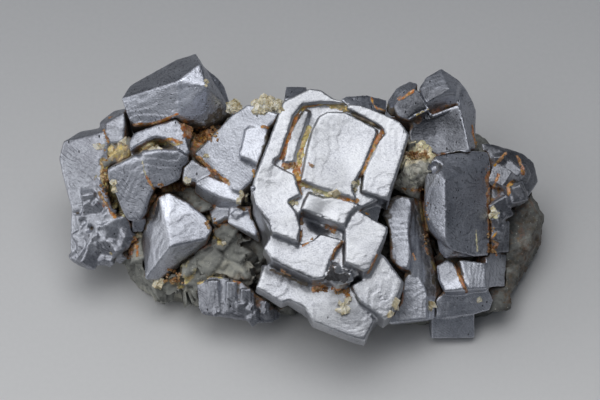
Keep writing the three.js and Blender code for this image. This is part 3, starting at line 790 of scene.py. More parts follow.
class Nodes:
    """The nodes of a new material around its Principled shader."""

    def __init__(self, name: str) -> None:
        """Starts with only the shader and its output.

        Args:
            name: what the material is.
        """
        self.material = bpy.data.materials.new(name)
        self.material.use_nodes = True
        self.material.node_tree.nodes.clear()
        self.shader = self.add("BsdfPrincipled", {})
        self.add("OutputMaterial", {"Surface": self.shader})
        self.place = self.add("TexCoord", {}).outputs["Object"]

    def add(self, kind: str, inputs: dict[str | int, object] | tuple, stops: tuple[tuple[float, str], ...] = (),
            **settings: object) -> bpy.types.Node:
        """Adds a node with its settings, values and links.

        Args:
            kind: the node type without "ShaderNode".
            inputs: what goes into each input, in order or by name or number: a socket, a node for its first
                output, or a number or colour.
            stops: positions and sRGB colours of a colour ramp.
            settings: the node's own properties.

        Returns:
            The new node.
        """
        node = self.material.node_tree.nodes.new("ShaderNode" + kind)
        for key, value in settings.items():
            setattr(node, key, value)
        self.feed(node, inputs if isinstance(inputs, dict) else dict(enumerate(inputs)))
        for k, (position, colour) in enumerate(stops):
            row = node.color_ramp.elements
            element = row[k] if k < len(row) else row.new(position)
            element.position, element.color = position, linear(colour)
        return node

    def feed(self, node: bpy.types.Node, inputs: dict[str | int, object]) -> bpy.types.Material:
        """Links sockets and sets values on a node's inputs.

        Args:
            node: the node.
            inputs: as in add.

        Returns:
            The material.
        """
        for key, value in inputs.items():
            value = value.outputs[0] if isinstance(value, bpy.types.Node) else value
            if isinstance(value, bpy.types.NodeSocket):
                self.material.node_tree.links.new(value, node.inputs[key])
            else:
                node.inputs[key].default_value = value
        return self.material

    def film(self, base: bpy.types.NodeSocket | bpy.types.Node, begins: float,
             painted_shade_colour: str) -> tuple[bpy.types.NodeSocket, bpy.types.Node]:
        """Lays the painted deposits over a base colour: crumbs of two sizes break the painted mask and mottle its
        tint, and painted shade darkens the places that little light reaches.

        Args:
            base: the bare mineral's colour.
            begins: sum of mask and crumbs at which the film begins; it closes at 1.
            painted_shade_colour: colour of the painted shade in deep seams.

        Returns:
            The colour, and how much of it is film.
        """
        stain, tint, sky = (self.add("Attribute", {}, attribute_name=name) for name in ("stain", "tint", "open_sky"))
        # crumbs of about 0.8 mm with smaller ones on them
        crumb = self.add("TexNoise", {"Vector": self.place, "Scale": PER_MM / 1.6, "Detail": 4.0, "Roughness": 0.7})
        broken = self.add("Math", (stain.outputs["Fac"], crumb), operation="ADD")
        film = self.add("MapRange", (broken, begins, 1.0))
        fleck = self.add("TexVoronoi", {"Vector": self.place, "Scale": PER_MM / 0.7})
        speck = self.add("SeparateColor", (fleck.outputs["Color"],))
        both = self.add("Math", (speck, crumb), operation="ADD")
        value = self.add("MapRange", (both, 0.4, 1.5, 0.5, 1.6))
        hue = self.add("MapRange", (speck.outputs[1], 0.0, 1.0, 0.485, 0.53))
        strength = self.add("MapRange", (speck.outputs[2], 0.0, 1.0, 0.65, 1.15))
        mottled = self.add("HueSaturation", {"Color": tint, "Value": value, "Hue": hue, "Saturation": strength})
        colour = self.add("Mix", {0: film, 6: base, 7: mottled}, data_type="RGBA")
        # painted shade: where little of the sky is open, the colour is mixed towards the dark shade colour
        light = self.add("MapRange", (sky.outputs["Fac"], 0.02, 0.25, 0.65, 1.0))
        shaded = self.add("Mix", {0: light, 6: linear(painted_shade_colour), 7: colour.outputs[2]}, data_type="RGBA")
        return shaded.outputs[2], film


@dataclass(frozen=True)
class Lustre:
    """Galena: lead sulphide, a soft metallic mineral. Fresh cube faces shine like lead; worn and etched ones
    are satin, with fine pits and growth lines that break the shine into grains."""

    name: str
    bright: str
    dull: str
    roughness: float
    pit_size_mm: float
    pit_height: float
    line_spacing_mm: float
    line_height: float
    line_dark: float
    dash_share: float
    dash_mm: float

    def material(self) -> bpy.types.Material:
        """Metallic lead-grey with etch pits, growth lines, painted highlight and shade on chosen faces and edges,
        painted shade in sheltered places and, where stained, a dull mineral film.

        Returns:
            The material.
        """
        tree = Nodes(self.name)
        place = tree.place
        # grains of shine, as large as the etch pits, on clouds of 11 mm
        grain = tree.add("TexNoise", {"Vector": place, "Scale": PER_MM / (1.3 * self.pit_size_mm), "Detail": 2.0,
                                      "Roughness": 0.7})
        cloud = tree.add("TexNoise", {"Vector": place, "Scale": PER_MM / 11.0, "Detail": 4.0, "Roughness": 0.6})
        tone = tree.add("Math", (grain, 0.38), operation="MULTIPLY")
        both = tree.add("Math", (cloud, 0.4, tone), operation="MULTIPLY_ADD")
        metal = tree.add("ValToRGB", (both,), ((0.25, "#85878e"), (0.35, self.dull), (0.46, self.bright)))
        # dark dashes: narrow pits, three times as long as wide, that the acid left along the cube edges
        along = tree.add("Mapping", {"Vector": place, "Rotation": (0.5, 0.9, 0.35), "Scale": (1.0, 0.33, 1.0)})
        dashes = tree.add("TexVoronoi", {"Vector": along, "Scale": PER_MM / (3.0 * self.dash_mm)})
        chosen = tree.add("SeparateColor", (dashes.outputs["Color"],))
        few = tree.add("Math", (chosen, self.dash_share), operation="LESS_THAN")
        narrow = tree.add("MapRange", (dashes, 0.12, 0.27, 1.0, 0.0))
        dash = tree.add("Math", (few, narrow), operation="MULTIPLY")
        # growth lines: bands bent by noise, like the whorls on the cube faces
        bent = tree.add("TexNoise", {"Vector": place, "Scale": PER_MM / 16.0, "Detail": 1.0})
        swirl = tree.add("VectorMath", (bent.outputs["Color"], (0.02, 0.02, 0.02)), operation="MULTIPLY")
        swept = tree.add("VectorMath", (place, swirl), operation="ADD")
        # the wave texture repeats every 2 pi / 20 of its scaled length
        lines = tree.add("TexWave", {
            "Vector": swept, "Scale": PER_MM * math.pi / (10.0 * self.line_spacing_mm), "Distortion": 2.5,
            "Detail": 2.0, "Detail Scale": 1.5}, wave_type="BANDS", bands_direction="DIAGONAL").outputs["Fac"]
        # the acid ate short pieces of the lines, 1 to 2 mm long, so that they look dark
        eaten = tree.add("TexNoise", {"Vector": place, "Scale": PER_MM / 1.8, "Detail": 1.0})
        crest = tree.add("MapRange", (lines, 0.7, 0.95))
        piece = tree.add("MapRange", (eaten, 0.5, 0.6, 0.0, self.line_dark))
        short = tree.add("Math", (crest, piece), operation="MULTIPLY")
        dark = tree.add("Math", (short, dash), operation="MAXIMUM")
        pitted = tree.add("Mix", {0: dark, 6: metal, 7: linear("#222327")}, data_type="RGBA")
        # painted highlight and shade: some faces and edges are painted brighter and some darker
        painted_brightness = tree.add("Attribute", {}, attribute_name="painted_brightness")
        painted_lift = tree.add("MapRange", (painted_brightness.outputs["Fac"], -1.0, 1.0, 0.3, 1.7))
        painted_metal = tree.add("HueSaturation", {"Color": pitted.outputs[2], "Value": painted_lift})
        ridge = tree.add("Math", (lines, self.line_height, grain), operation="MULTIPLY_ADD")
        relief = tree.add("Math", (ridge, dark), operation="SUBTRACT")
        bump = tree.add("Bump", {"Height": relief, "Strength": self.pit_height, "Distance": 0.12 * MM})
        # 2c2a28 is the painted shade in sheltered places
        colour, film = tree.film(painted_metal, 0.75, "#2c2a28")
        metallic = tree.add("MapRange", (film, 0.0, 1.0, 1.0, 0.0))
        sheen = tree.add("MapRange", (cloud, 0.3, 0.7, self.roughness - 0.05, self.roughness + 0.05))
        dullness = tree.add("Mix", {0: film, 2: sheen, 3: 0.85})
        return tree.feed(tree.shader, {"Base Color": colour, "Metallic": metallic, "Roughness": dullness,
                                       "Normal": bump})


FRAMED_GALENA = Lustre("galena_lustrous", "#c5c7cb", "#afb1b7", 0.38, 0.3, 0.35, 0.7, 0.2, 0.16, 0.015, 0.35)
SATIN_GALENA = Lustre("galena_satin", "#c6c9d1", "#a9acb5", 0.42, 0.3, 0.4, 0.6, 0.25, 0.3, 0.06, 0.35)
ETCHED_GALENA = Lustre("galena_etched", "#bbbec7", "#979aa3", 0.4, 0.34, 0.5, 0.7, 0.12, 0.38, 0.24, 0.25)
WORN_GALENA = Lustre("galena_worn", "#b6b9c1", "#95979f", 0.46, 0.4, 0.4, 0.7, 0.15, 0.4, 0.08, 0.35)


@dataclass(frozen=True)
class BrokenRock:
    """Host rock: dark, fine-grained, altered limestone, broken along flat faces, with clay and rust in it. Each
    broken face has its own tone, and tiny crystals in it glint."""

    name: str = "host_rock_broken"
    stops: tuple[tuple[float, str], ...] = (
        (0.3, "#242422"), (0.5, "#4c4c49"), (0.66, "#747571"), (0.82, "#90918b"), (1.0, "#aeaca0"))

    def material(self) -> bpy.types.Material:
        """Mottled dull stone with glints and grit, painted shade in sheltered places and, where stained, a mineral
        film.

        Returns:
            The material.
        """
        tree = Nodes(self.name)
        place = tree.place
        tone = tree.add("Attribute", {}, attribute_name="tone").outputs["Fac"]
        body = tree.add("TexNoise", {"Vector": place, "Scale": PER_MM / 3.0, "Detail": 6.0, "Roughness": 0.68})
        mixed = tree.add("Math", (body, 0.8, tone), operation="MULTIPLY_ADD")
        stone = tree.add("ValToRGB", (mixed,), self.stops)
        # glints of about 0.25 mm
        specks = tree.add("TexVoronoi", {"Vector": place, "Scale": PER_MM / 1.1})
        spark = tree.add("MapRange", (specks, 0.15, 0.1))
        pale = tree.add("Mix", {0: spark, 6: stone, 7: linear("#b3b2a8")}, data_type="RGBA")
        # grit of 0.4 to 1 mm
        gritty = tree.add("TexNoise", {"Vector": place, "Scale": PER_MM / 0.9, "Detail": 4.0, "Roughness": 0.7})
        bump = tree.add("Bump", {"Height": gritty, "Strength": 0.7, "Distance": 0.2 * MM})
        # 14120f is the painted shade in sheltered places
        return tree.feed(tree.shader, {
            "Base Color": tree.film(pale.outputs[2], 0.7, "#14120f")[0], "Normal": bump,
            "Roughness": tree.add("MapRange", (spark, 0.0, 1.0, 0.7, 0.25))})


@dataclass(frozen=True)
class Calcite:
    """Calcite: waxy and a little see-through at its edges, so light spreads inside it; iron stains it."""

    name: str
    dark: str
    mid: str
    pale: str

    def material(self) -> bpy.types.Material:
        """Clouds of about 2 mm, from the most stained to the cleanest colour.

        Returns:
            The material.
        """
        tree = Nodes(self.name)
        cloud = tree.add("TexNoise", {"Vector": tree.place, "Scale": PER_MM / 2.2, "Detail": 4.0, "Roughness": 0.7})
        colour = tree.add("ValToRGB", (cloud,), ((0.34, self.dark), (0.5, self.mid), (0.64, self.pale)))
        return tree.feed(tree.shader, {
            "Base Color": colour, "Roughness": 0.3, "Subsurface Weight": 0.3, "Subsurface Radius": (1.0, 0.8, 0.5),
            "Subsurface Scale": 0.5 * MM})


@dataclass
class Specimen:
    """What the object's pieces share: the light that reaches their surfaces."""

    sky_directions: int = 40
    sky_cell_mm: float = 0.7
    hidden_mm: tuple[float, float] = (1.4, 0.5)  # depths behind the outermost surface: hidden and in the open

    def shelter(self, surfaces: list[Surface]) -> None:
        """Works out how open to the outside each vertex is: the share of directions in which nothing is above
        it, each weighted by the cosine to its normal.

        Args:
            surfaces: all pieces' arrays, which get open_sky.
        """
        points = np.concatenate([s.points for s in surfaces])
        normals = np.concatenate([s.normals for s in surfaces])
        clear, weight = np.zeros((2, len(points)))
        for direction in sphere_directions(self.sky_directions):
            depth = DepthMap(points, direction, self.sky_cell_mm)
            cosine = np.clip(normals @ direction, 0.0, None)
            clear += cosine * smoothstep(*self.hidden_mm, depth.below(points))
            weight += cosine
        share = clear / np.maximum(weight, TINY)
        start = 0
        for s in surfaces:
            s.layers["open_sky"] = s.blurred(share[start:start + len(s.points)], 2)
            start += len(s.points)


@dataclass
class NodePiece:
    """A piece that dresses one CAD node."""

    node: str
    name: str
    _: KW_ONLY
    slot: str = "galena"
    voxel_mm: float = 0.34  # edge of its small faces
    rounding: int = 2  # rounds of smoothing that wear its edges
    film: float = 0.5  # how much of its sheltered places takes a film of dirt
    crust_mm: float = 0.2  # how thick the deposits lie on it
    body: bpy.types.Object | None = None
    surface: Surface | None = None

    def mesh(self, knobs: bpy.types.Mesh | None = None) -> Surface:
        """Copies the node's solid, closes it and cuts it into even small faces.

        Args:
            knobs: small closed solids in the row frame that are fused to it.

        Returns:
            The new piece's surface, ready to be worked.
        """
        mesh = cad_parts[self.node].data.copy()
        mesh.materials.clear()
        bm = bmesh.new()
        bm.from_mesh(mesh)
        bmesh.ops.remove_doubles(bm, verts=bm.verts, dist=TINY)
        if knobs is not None:
            bm.from_mesh(knobs)
        bm.to_mesh(mesh)
        bm.free()
        self.body = new_object(self.name, mesh)
        grid = self.body.modifiers.new("grid", "REMESH")
        grid.mode = "VOXEL"
        grid.voxel_size = self.voxel_mm * MM
        wear = self.body.modifiers.new("wear", "SMOOTH")
        wear.factor = 0.5
        wear.iterations = self.rounding
        view = bpy.context.evaluated_depsgraph_get()
        result = bpy.data.meshes.new_from_object(self.body.evaluated_get(view))
        result.name = self.name
        self.body.modifiers.clear()
        self.body.data = result
        bpy.data.meshes.remove(mesh)
        self.surface = Surface.read(result)
        return self.surface

    def dress(self, material: bpy.types.Material, front: DepthMap) -> None:
        """Paints the deposits, thickens them a little, writes the mesh and ties the piece to its node.

        Args:
            material: its finish.
            front: depth of the whole specimen seen from the display side.
        """
        s = self.surface
        paint(s, front, self.film, self.name)
        crust = self.crust_mm * s.layers["stain"] * (0.5 + 0.5 * rough(s.points, 1.0, 21))
        s.points += s.normals * crust[:, None]
        s.write(self.body.data)
        self.body.data.materials.append(material)
        tie(self.body, self.slot, self.node)


@dataclass
class CrystalCluster(NodePiece):
    """Galena crystals that grew together, worn, pitted and stepped."""

    lustre: Lustre
    wave_mm: float = 0.12
    pit_mm: float = 0.25
    pit_share: float = 0.25
    groove_mm: float = 0.0
    groove_way: tuple[float, float, float] = (1.0, 0.0, 0.0)
    groove_spacing_mm: float = 1.1
    step_mm: float = 0.05
    painted_edge_highlight: float = 0.7  # painted highlight: how much brighter its convex edges are painted
    dishes: tuple[Dish, ...] = ()
    bends: tuple[Bend, ...] = ()
    # painted highlight and shade on faces that look one way, some only around a pixel
    painted_light_and_shade: tuple[PaintedLightAndShade, ...] = ()
    knobs: tuple[Sprinkle, ...] = ()
    edge_bend_mm = (0.03, 0.12)  # how far a vertex stands out where the painted edge highlight begins and is full

    def shape(self, side: DisplaySide) -> None:
        """Meshes the node evenly, with small crystals grown on it, notes which faces and edges get painted highlight
        and shade, and gives it its relief.

        Args:
            side: finds the surface that the small crystals sit on.
        """
        knobs = sprinkled("knobs", side, self.knobs, len(self.name), 0.0, 0.25) if self.knobs else None
        s = self.mesh(knobs)
        painted_brightness = sum((sheen.amount(s.points, s.normals) for sheen in self.painted_light_and_shade), np.zeros(len(s.points)))
        edge = self.painted_edge_highlight * smoothstep(*self.edge_bend_mm, -self.bend())
        # painted highlight and shade, which the material turns into brightness
        s.layers["painted_brightness"] = s.blurred(painted_brightness + edge, 1)
        s.points += s.normals * self.relief()[:, None]
        for bend in self.bends:
            s.points[:, 2] -= bend.drop(s.points)

    def bend(self) -> np.ndarray:
        """How far the neighbours' mean lies outside each vertex, in mm: negative on edges, positive in creases."""
        p = self.surface.points
        return np.sum((self.surface.blurred(p, 2) - p) * self.surface.normals, axis=1)

    def relief(self) -> np.ndarray:
        """Height of the surface over the cut crystal: long waves and short ones, growth steps where a slow wave
        is rounded to whole steps, round pits around some scattered seeds, grooves that fade in and out, chipped
        edges and dishes.

        Returns:
            Height of each vertex along its normal, in mm.
        """
        p, n = self.surface.points, self.surface.normals
        # the numbers after p are the size in mm and the seed of a layer of lumps
        height = self.wave_mm * (0.75 * noise(p, 8.0, 11) + 0.25 * noise(p, 3.4, 12)) + 0.025 * noise(p, 1.1, 13)
        slow = 5.0 * rough(p, 13.0, 14, 2) + 0.35 * rough(p, 1.6, 15, 2)
        part = slow - np.floor(slow)
        height += 1.5 * self.step_mm * (smoothstep(0.42, 0.58, part) - part)
        near, who, _, _ = cells(p, 2.4, 16)
        height -= self.pit_mm * np.where(who < self.pit_share, smoothstep(1.0, 0.2, near / (0.3 + 0.5 * who)), 0.0)
        if self.groove_mm > 0.0:
            phase = (p @ unit(np.array(self.groove_way)) + 0.25 * rough(p, 5.0, 22, 2)) / self.groove_spacing_mm
            ridge = np.abs(2.0 * (phase - np.floor(phase)) - 1.0)
            strength = smoothstep(-0.4, 0.5, noise(np.floor(phase)[:, None] * np.array([3.7, 1.9, 5.3]), 1.0, 23))
            height -= self.groove_mm * strength * smoothstep(0.5, 0.0, ridge) * smoothstep(0.2, 0.6, n[:, 2])
        chip = smoothstep(0.1, 0.6, rough(p, 1.9, 20, 2) + 0.1)
        height += np.clip(self.bend(), -0.3, 0.0) * 1.6 * chip
        for dish in self.dishes:
            height -= dish.sink(p, n)
        return height


@dataclass
class HostRock(NodePiece):
    """The lump of rock, broken into flat facets of several sizes, smoother and darker at its right end. The facets'
    fields have a number for each size."""

    node: str = "host_rock"
    name: str = "rock_lump"
    slot: str = "host_rock"
    voxel_mm: float = 0.52
    rounding: int = 1
    film: float = 0.3
    crust_mm: float = 0.0
    facet_mm: tuple[float, ...] = (9.0, 4.4, 2.0)
    facet_height: tuple[float, ...] = (1.5, 0.7, 0.25)
    facet_tone: tuple[float, ...] = (0.2, 0.14, 0.05)
    crack_depth: tuple[float, ...] = (0.7, 0.4, 0.1)
    foot_band_mm: float = 1.2
    dark_end_mm: tuple[float, float] = (38.0, 44.0)  # places along x at which the dark end begins and is whole
    swells: tuple[Dish, ...] = (Dish(28.8, 8.6, 17.4, 8.5, -5.5, 0, 12), Dish(-25.5, 16.5, 13.6, 6, -1.6, 0, 10))

    def shape(self) -> None:
        """Meshes the node evenly and breaks its surface into facets. Each scattered seed carries a plane of its
        own tilt and height, so neighbouring facets meet at sharp steps and cracks, and a tone of its own. Near
        the flat underside the height fades out, so the rock still rests on it."""
        s = self.mesh()
        p = s.points
        height, crack = np.zeros((2, len(p)))
        tone = 0.06 * rough(p, 14.0, 41, 2)
        for k, (size, tall) in enumerate(zip(self.facet_mm, self.facet_height)):
            bent = p + 0.1 * size * np.stack([noise(p, size, 50 + k * 7 + j) for j in range(3)], axis=1)
            _, who, way, rim = cells(bent, size, 30 + k)
            tilt = unit(np.stack([np.sin(who * 40.0), np.sin(who * 71.0 + 1.0), np.sin(who * 97.0 + 2.0)], axis=1))
            height += tall * (0.9 * (who - 0.5) + 1.7 * np.sum(way * tilt, axis=1) / size)
            tone += self.facet_tone[k] * (np.modf(who * 13.0)[0] - 0.5)
            crack = np.maximum(crack, self.crack_depth[k] * smoothstep(0.1 * size, 0.0, rim))
        end = smoothstep(*self.dark_end_mm, p[:, 0])
        height = height * (1.0 - 0.65 * end) + 0.06 * rough(p, 1.1, 40) - 0.28 * crack * (1.0 - end)
        height += end * (0.5 * rough(p, 5.0, 42) + 0.12 * rough(p, 1.2, 43))
        for swell in self.swells:
            height -= swell.sink(p, s.normals)
        # nothing on the faces that look down within 1 mm of the floor
        above = to_row(p)[:, 2] / MM
        down = smoothstep(0.5, 0.95, -(s.normals @ DISPLAY_AXES.T)[:, 2])
        fade = smoothstep(0.0, self.foot_band_mm, above) * (1.0 - down * smoothstep(3.0, 1.0, above))
        s.layers["tone"] = 0.42 + tone * (1.0 - 0.6 * end) - 0.22 * crack * (1.0 - end) - 0.2 * end
        s.points = p + s.normals * (height * fade)[:, None]


@dataclass
class SeamFilling:
    """Rust, calcite and soil packed into the seams: one rough strip along each stroke that fills its seam."""

    name: str = "seam_filling"
    ring: int = 10
    step_px: float = 1.6
    probe_px: float = 2.0
    thickness_mm: float = 1.3
    crumb_mm: float = 0.22

    def strip(self, stroke: Stroke, side: DisplaySide) -> tuple[np.ndarray, np.ndarray]:
        """One strip: an ellipse carried along the stroke and narrowed to a point at both ends, as the fourth root
        of one minus the fourth power of the way from its middle. Its crest stays the fill depth below the lower of
        the two surfaces beside the seam.

        Args:
            stroke: the seam's line, width and fill depth.
            side: finds the surfaces beside the seam.

        Returns:
            Ring after ring of points in the display frame, and the way out at each of them.
        """
        corners = stroke.corners
        length = np.concatenate([[0.0], np.cumsum(np.linalg.norm(np.diff(corners, axis=0), axis=1))])
        count = max(6, round(length[-1] / self.step_px))
        at = np.linspace(0.0, length[-1], count)
        line = np.stack([np.interp(at, length, corners[:, k]) for k in (0, 1)], axis=1)
        along = unit(np.gradient(line, axis=0))
        beside = np.stack([-along[:, 1], along[:, 0]], axis=1)
        reach = stroke.width / 2.0 + self.probe_px
        walls = np.array([[side.point(*(spot + k * reach * out))[2] for k in (-1.0, 1.0)]
                          for spot, out in zip(line, beside)])
        crest = walls.min(axis=1) - stroke.fill
        crest = np.convolve(np.pad(crest, 2, mode="edge"), np.ones(5) / 5.0, mode="valid")
        middle = np.stack([*from_pixels(line[:, 0], line[:, 1], crest), crest - self.thickness_mm], axis=1)
        across = np.stack([beside[:, 0], -beside[:, 1], np.zeros(count)], axis=1)
        taper = (1.0 - np.abs(np.linspace(-0.97, 0.97, count)) ** 4) ** 0.25
        half = taper * stroke.width / 2.0 / PIXELS_PER_MM * (1.25 + 0.3 * noise(middle, 2.0, 61))
        turn = np.arange(self.ring) * 2.0 * math.pi / self.ring
        out = across[:, None] * np.cos(turn)[None, :, None] + VIEW_WAY * np.sin(turn)[None, :, None]
        size = np.stack([half, half, taper * self.thickness_mm], axis=1)[:, None, :]
        return middle[:, None, :] + out * size, out

    def build(self, side: DisplaySide, material: bpy.types.Material) -> None:
        """Makes all strips as one mesh, roughens them, tints them and ties them to the specimen.

        Args:
            side: finds the surfaces beside the seams.
            material: the crumbly finish, which reads stain and tint.
        """
        points, ways, tints, faces, start = [], [], [], [], 0
        j = np.arange(self.ring)
        after = (j + 1) % self.ring
        for stroke in (s for s in STROKES if s.fill > 0.0):
            rings, out = self.strip(stroke, side)
            body = len(rings) * self.ring
            points += [rings.reshape(-1, 3), np.stack([rings[0].mean(axis=0), rings[-1].mean(axis=0)])]
            ways += [out.reshape(-1, 3), np.zeros((2, 3))]
            tints.append(np.tile(stroke.deposit.colour, (body + 2, 1)))
            i = start + np.arange(len(rings) - 1)[:, None] * self.ring
            quads = np.stack([i + j, i + self.ring + j, i + self.ring + after, i + after], axis=2)
            first, last = np.full(self.ring, start + body), start + body - self.ring
            faces += quads.reshape(-1, 4).tolist()
            faces += np.stack([first, start + j, start + after], axis=1).tolist()
            faces += np.stack([first + 1, last + after, last + j], axis=1).tolist()
            start += body + 2
        p = np.concatenate(points)
        p = p + np.concatenate(ways) * (self.crumb_mm * rough(p, 1.0, 62))[:, None]
        mesh = bpy.data.meshes.new(self.name)
        mesh.from_pydata(to_row(p).tolist(), [], faces)
        mesh.update()
        surface = Surface.read(mesh)
        blend = 0.6 * smoothstep(0.0, 0.5, rough(p, 1.6, 63))[:, None]
        surface.layers = {"tint": np.concatenate(tints) * (1.0 - blend) + TAN.colour * blend,
                          "stain": np.ones(len(p)), "open_sky": np.ones(len(p))}
        surface.write(mesh)
        mesh.materials.append(material)
        tie(new_object(self.name, mesh), "host_rock")


@dataclass
class SmallCrystals:
    """Loose-looking small crystals that grew on the galena and the rock: rhombs of calcite or crumbs of ore."""

    name: str
    slot: str
    spots: tuple[Sprinkle, ...]
    seed: int
    lean: float = 0.3
    replaces: tuple[str, ...] = ()

    def build(self, side: DisplaySide, material: bpy.types.Material) -> None:
        """Sets the crystals on the surface and ties them to the specimen.

        Args:
            side: finds the surface.
            material: their finish.
        """
        mesh = sprinkled(self.name, side, self.spots, self.seed, self.lean)
        mesh.materials.append(material)
        tie(new_object(self.name, mesh), self.slot, *self.replaces)


@dataclass(frozen=True)
class Panel:
    """A soft light panel that faces the specimen."""

    name: str
    size_mm: tuple[float, float]
    at_mm: tuple[float, float, float]
    radiance: float

    def build(self) -> None:
        """Adds the panel. Its power is radiance times area times pi, so that it looks that bright in a mirror."""
        light = bpy.data.lights.new(self.name, "AREA")
        light.shape = "RECTANGLE"
        light.size, light.size_y = self.size_mm[0] * MM, self.size_mm[1] * MM
        light.energy = self.radiance * light.size * light.size_y * math.pi
        lamp = new_object(self.name, light)
        lamp.location = Vector(self.at_mm) * MM
        lamp.rotation_euler = (-Vector(self.at_mm)).to_track_quat("-Z", "Y").to_euler()


@dataclass
class StudioLight:
    """Soft light from an overhead panel and the ceiling around it, weaker panels at the front left and low at
    the left, and a dim room."""

    panels: tuple[Panel, ...] = (
        Panel("overhead_panel", (600.0, 490.0), (-5.0, 95.0, 640.0), 1.55),
        Panel("ceiling", (1300.0, 1100.0), (-260.0, 240.0, 760.0), 0.5),
        Panel("front_left_panel", (440.0, 420.0), (-290.0, -270.0, 640.0), 1.25),
        Panel("low_left_panel", (460.0, 420.0), (-820.0, -60.0, 260.0), 2.5),
    )
    room: str = "#5b5e63"
    room_strength: float = 1.15

    def build(self) -> None:
        """Adds the panels and the room."""
        for panel in self.panels:
            panel.build()
        world = bpy.data.worlds.new("room")
        world.use_nodes = True
        sky = world.node_tree.nodes["Background"]
        sky.inputs["Color"].default_value = linear(self.room)
        sky.inputs["Strength"].default_value = self.room_strength
        bpy.context.scene.world = world


@dataclass
class Backdrop:
    """Plain pale sheet that the specimen lies on, with painted shade that makes it a little darker towards the back.
    """

    name: str = "pale_floor"
    half_mm: float = 2500.0
    front_colour: str = "#dadada"
    # painted shade: the floor's colour darkens towards the back as the light falls off
    shaded_back_colour: str = "#a9aaac"
    painted_falloff_mm: tuple[float, float] = (-70.0, 110.0)

    def build(self) -> None:
        """Adds the floor with its faint paper grain."""
        s = self.half_mm * MM
        mesh = bpy.data.meshes.new(self.name)
        mesh.from_pydata([(-s, -s, 0), (s, -s, 0), (s, s, 0), (-s, s, 0)], [], [(0, 1, 2, 3)])
        tree = Nodes("paper_with_painted_shade")
        axes = tree.add("SeparateXYZ", (tree.place,))
        # fibres of about 1 mm
        grain = tree.add("TexNoise", {"Vector": tree.place, "Scale": PER_MM / 1.2, "Detail": 3.0})
        wander = tree.add("Math", (grain, 0.02, axes.outputs["Y"]), operation="MULTIPLY_ADD")
        # painted shade: from the front colour to the darker back colour along y
        fade = tree.add("MapRange", (wander, self.painted_falloff_mm[0] * MM, self.painted_falloff_mm[1] * MM))
        colour = tree.add("ValToRGB", (fade,), ((0.0, self.front_colour), (1.0, self.shaded_back_colour)))
        mesh.materials.append(tree.feed(tree.shader, {"Base Color": colour, "Roughness": 0.9}))
        new_object(self.name, mesh)


def build_camera() -> None:
    """Adds the long-lens camera that looks straight at the display side."""
    camera = bpy.data.cameras.new("camera")
    camera.sensor_width = SENSOR_MM
    camera.lens = SENSOR_MM * CAMERA_DISTANCE / (FRAME_PIXELS[0] / PIXELS_PER_MM)
    camera.clip_start, camera.clip_end = 0.05, 20.0
    eye = new_object("camera", camera)
    spot = to_row((CAMERA_DISTANCE + SHARP_DEPTH) * VIEW_WAY)
    eye.matrix_world = Matrix.Translation(Vector(spot)) @ Matrix([list(row) for row in DISPLAY_AXES]).to_4x4()
    bpy.context.scene.camera = eye


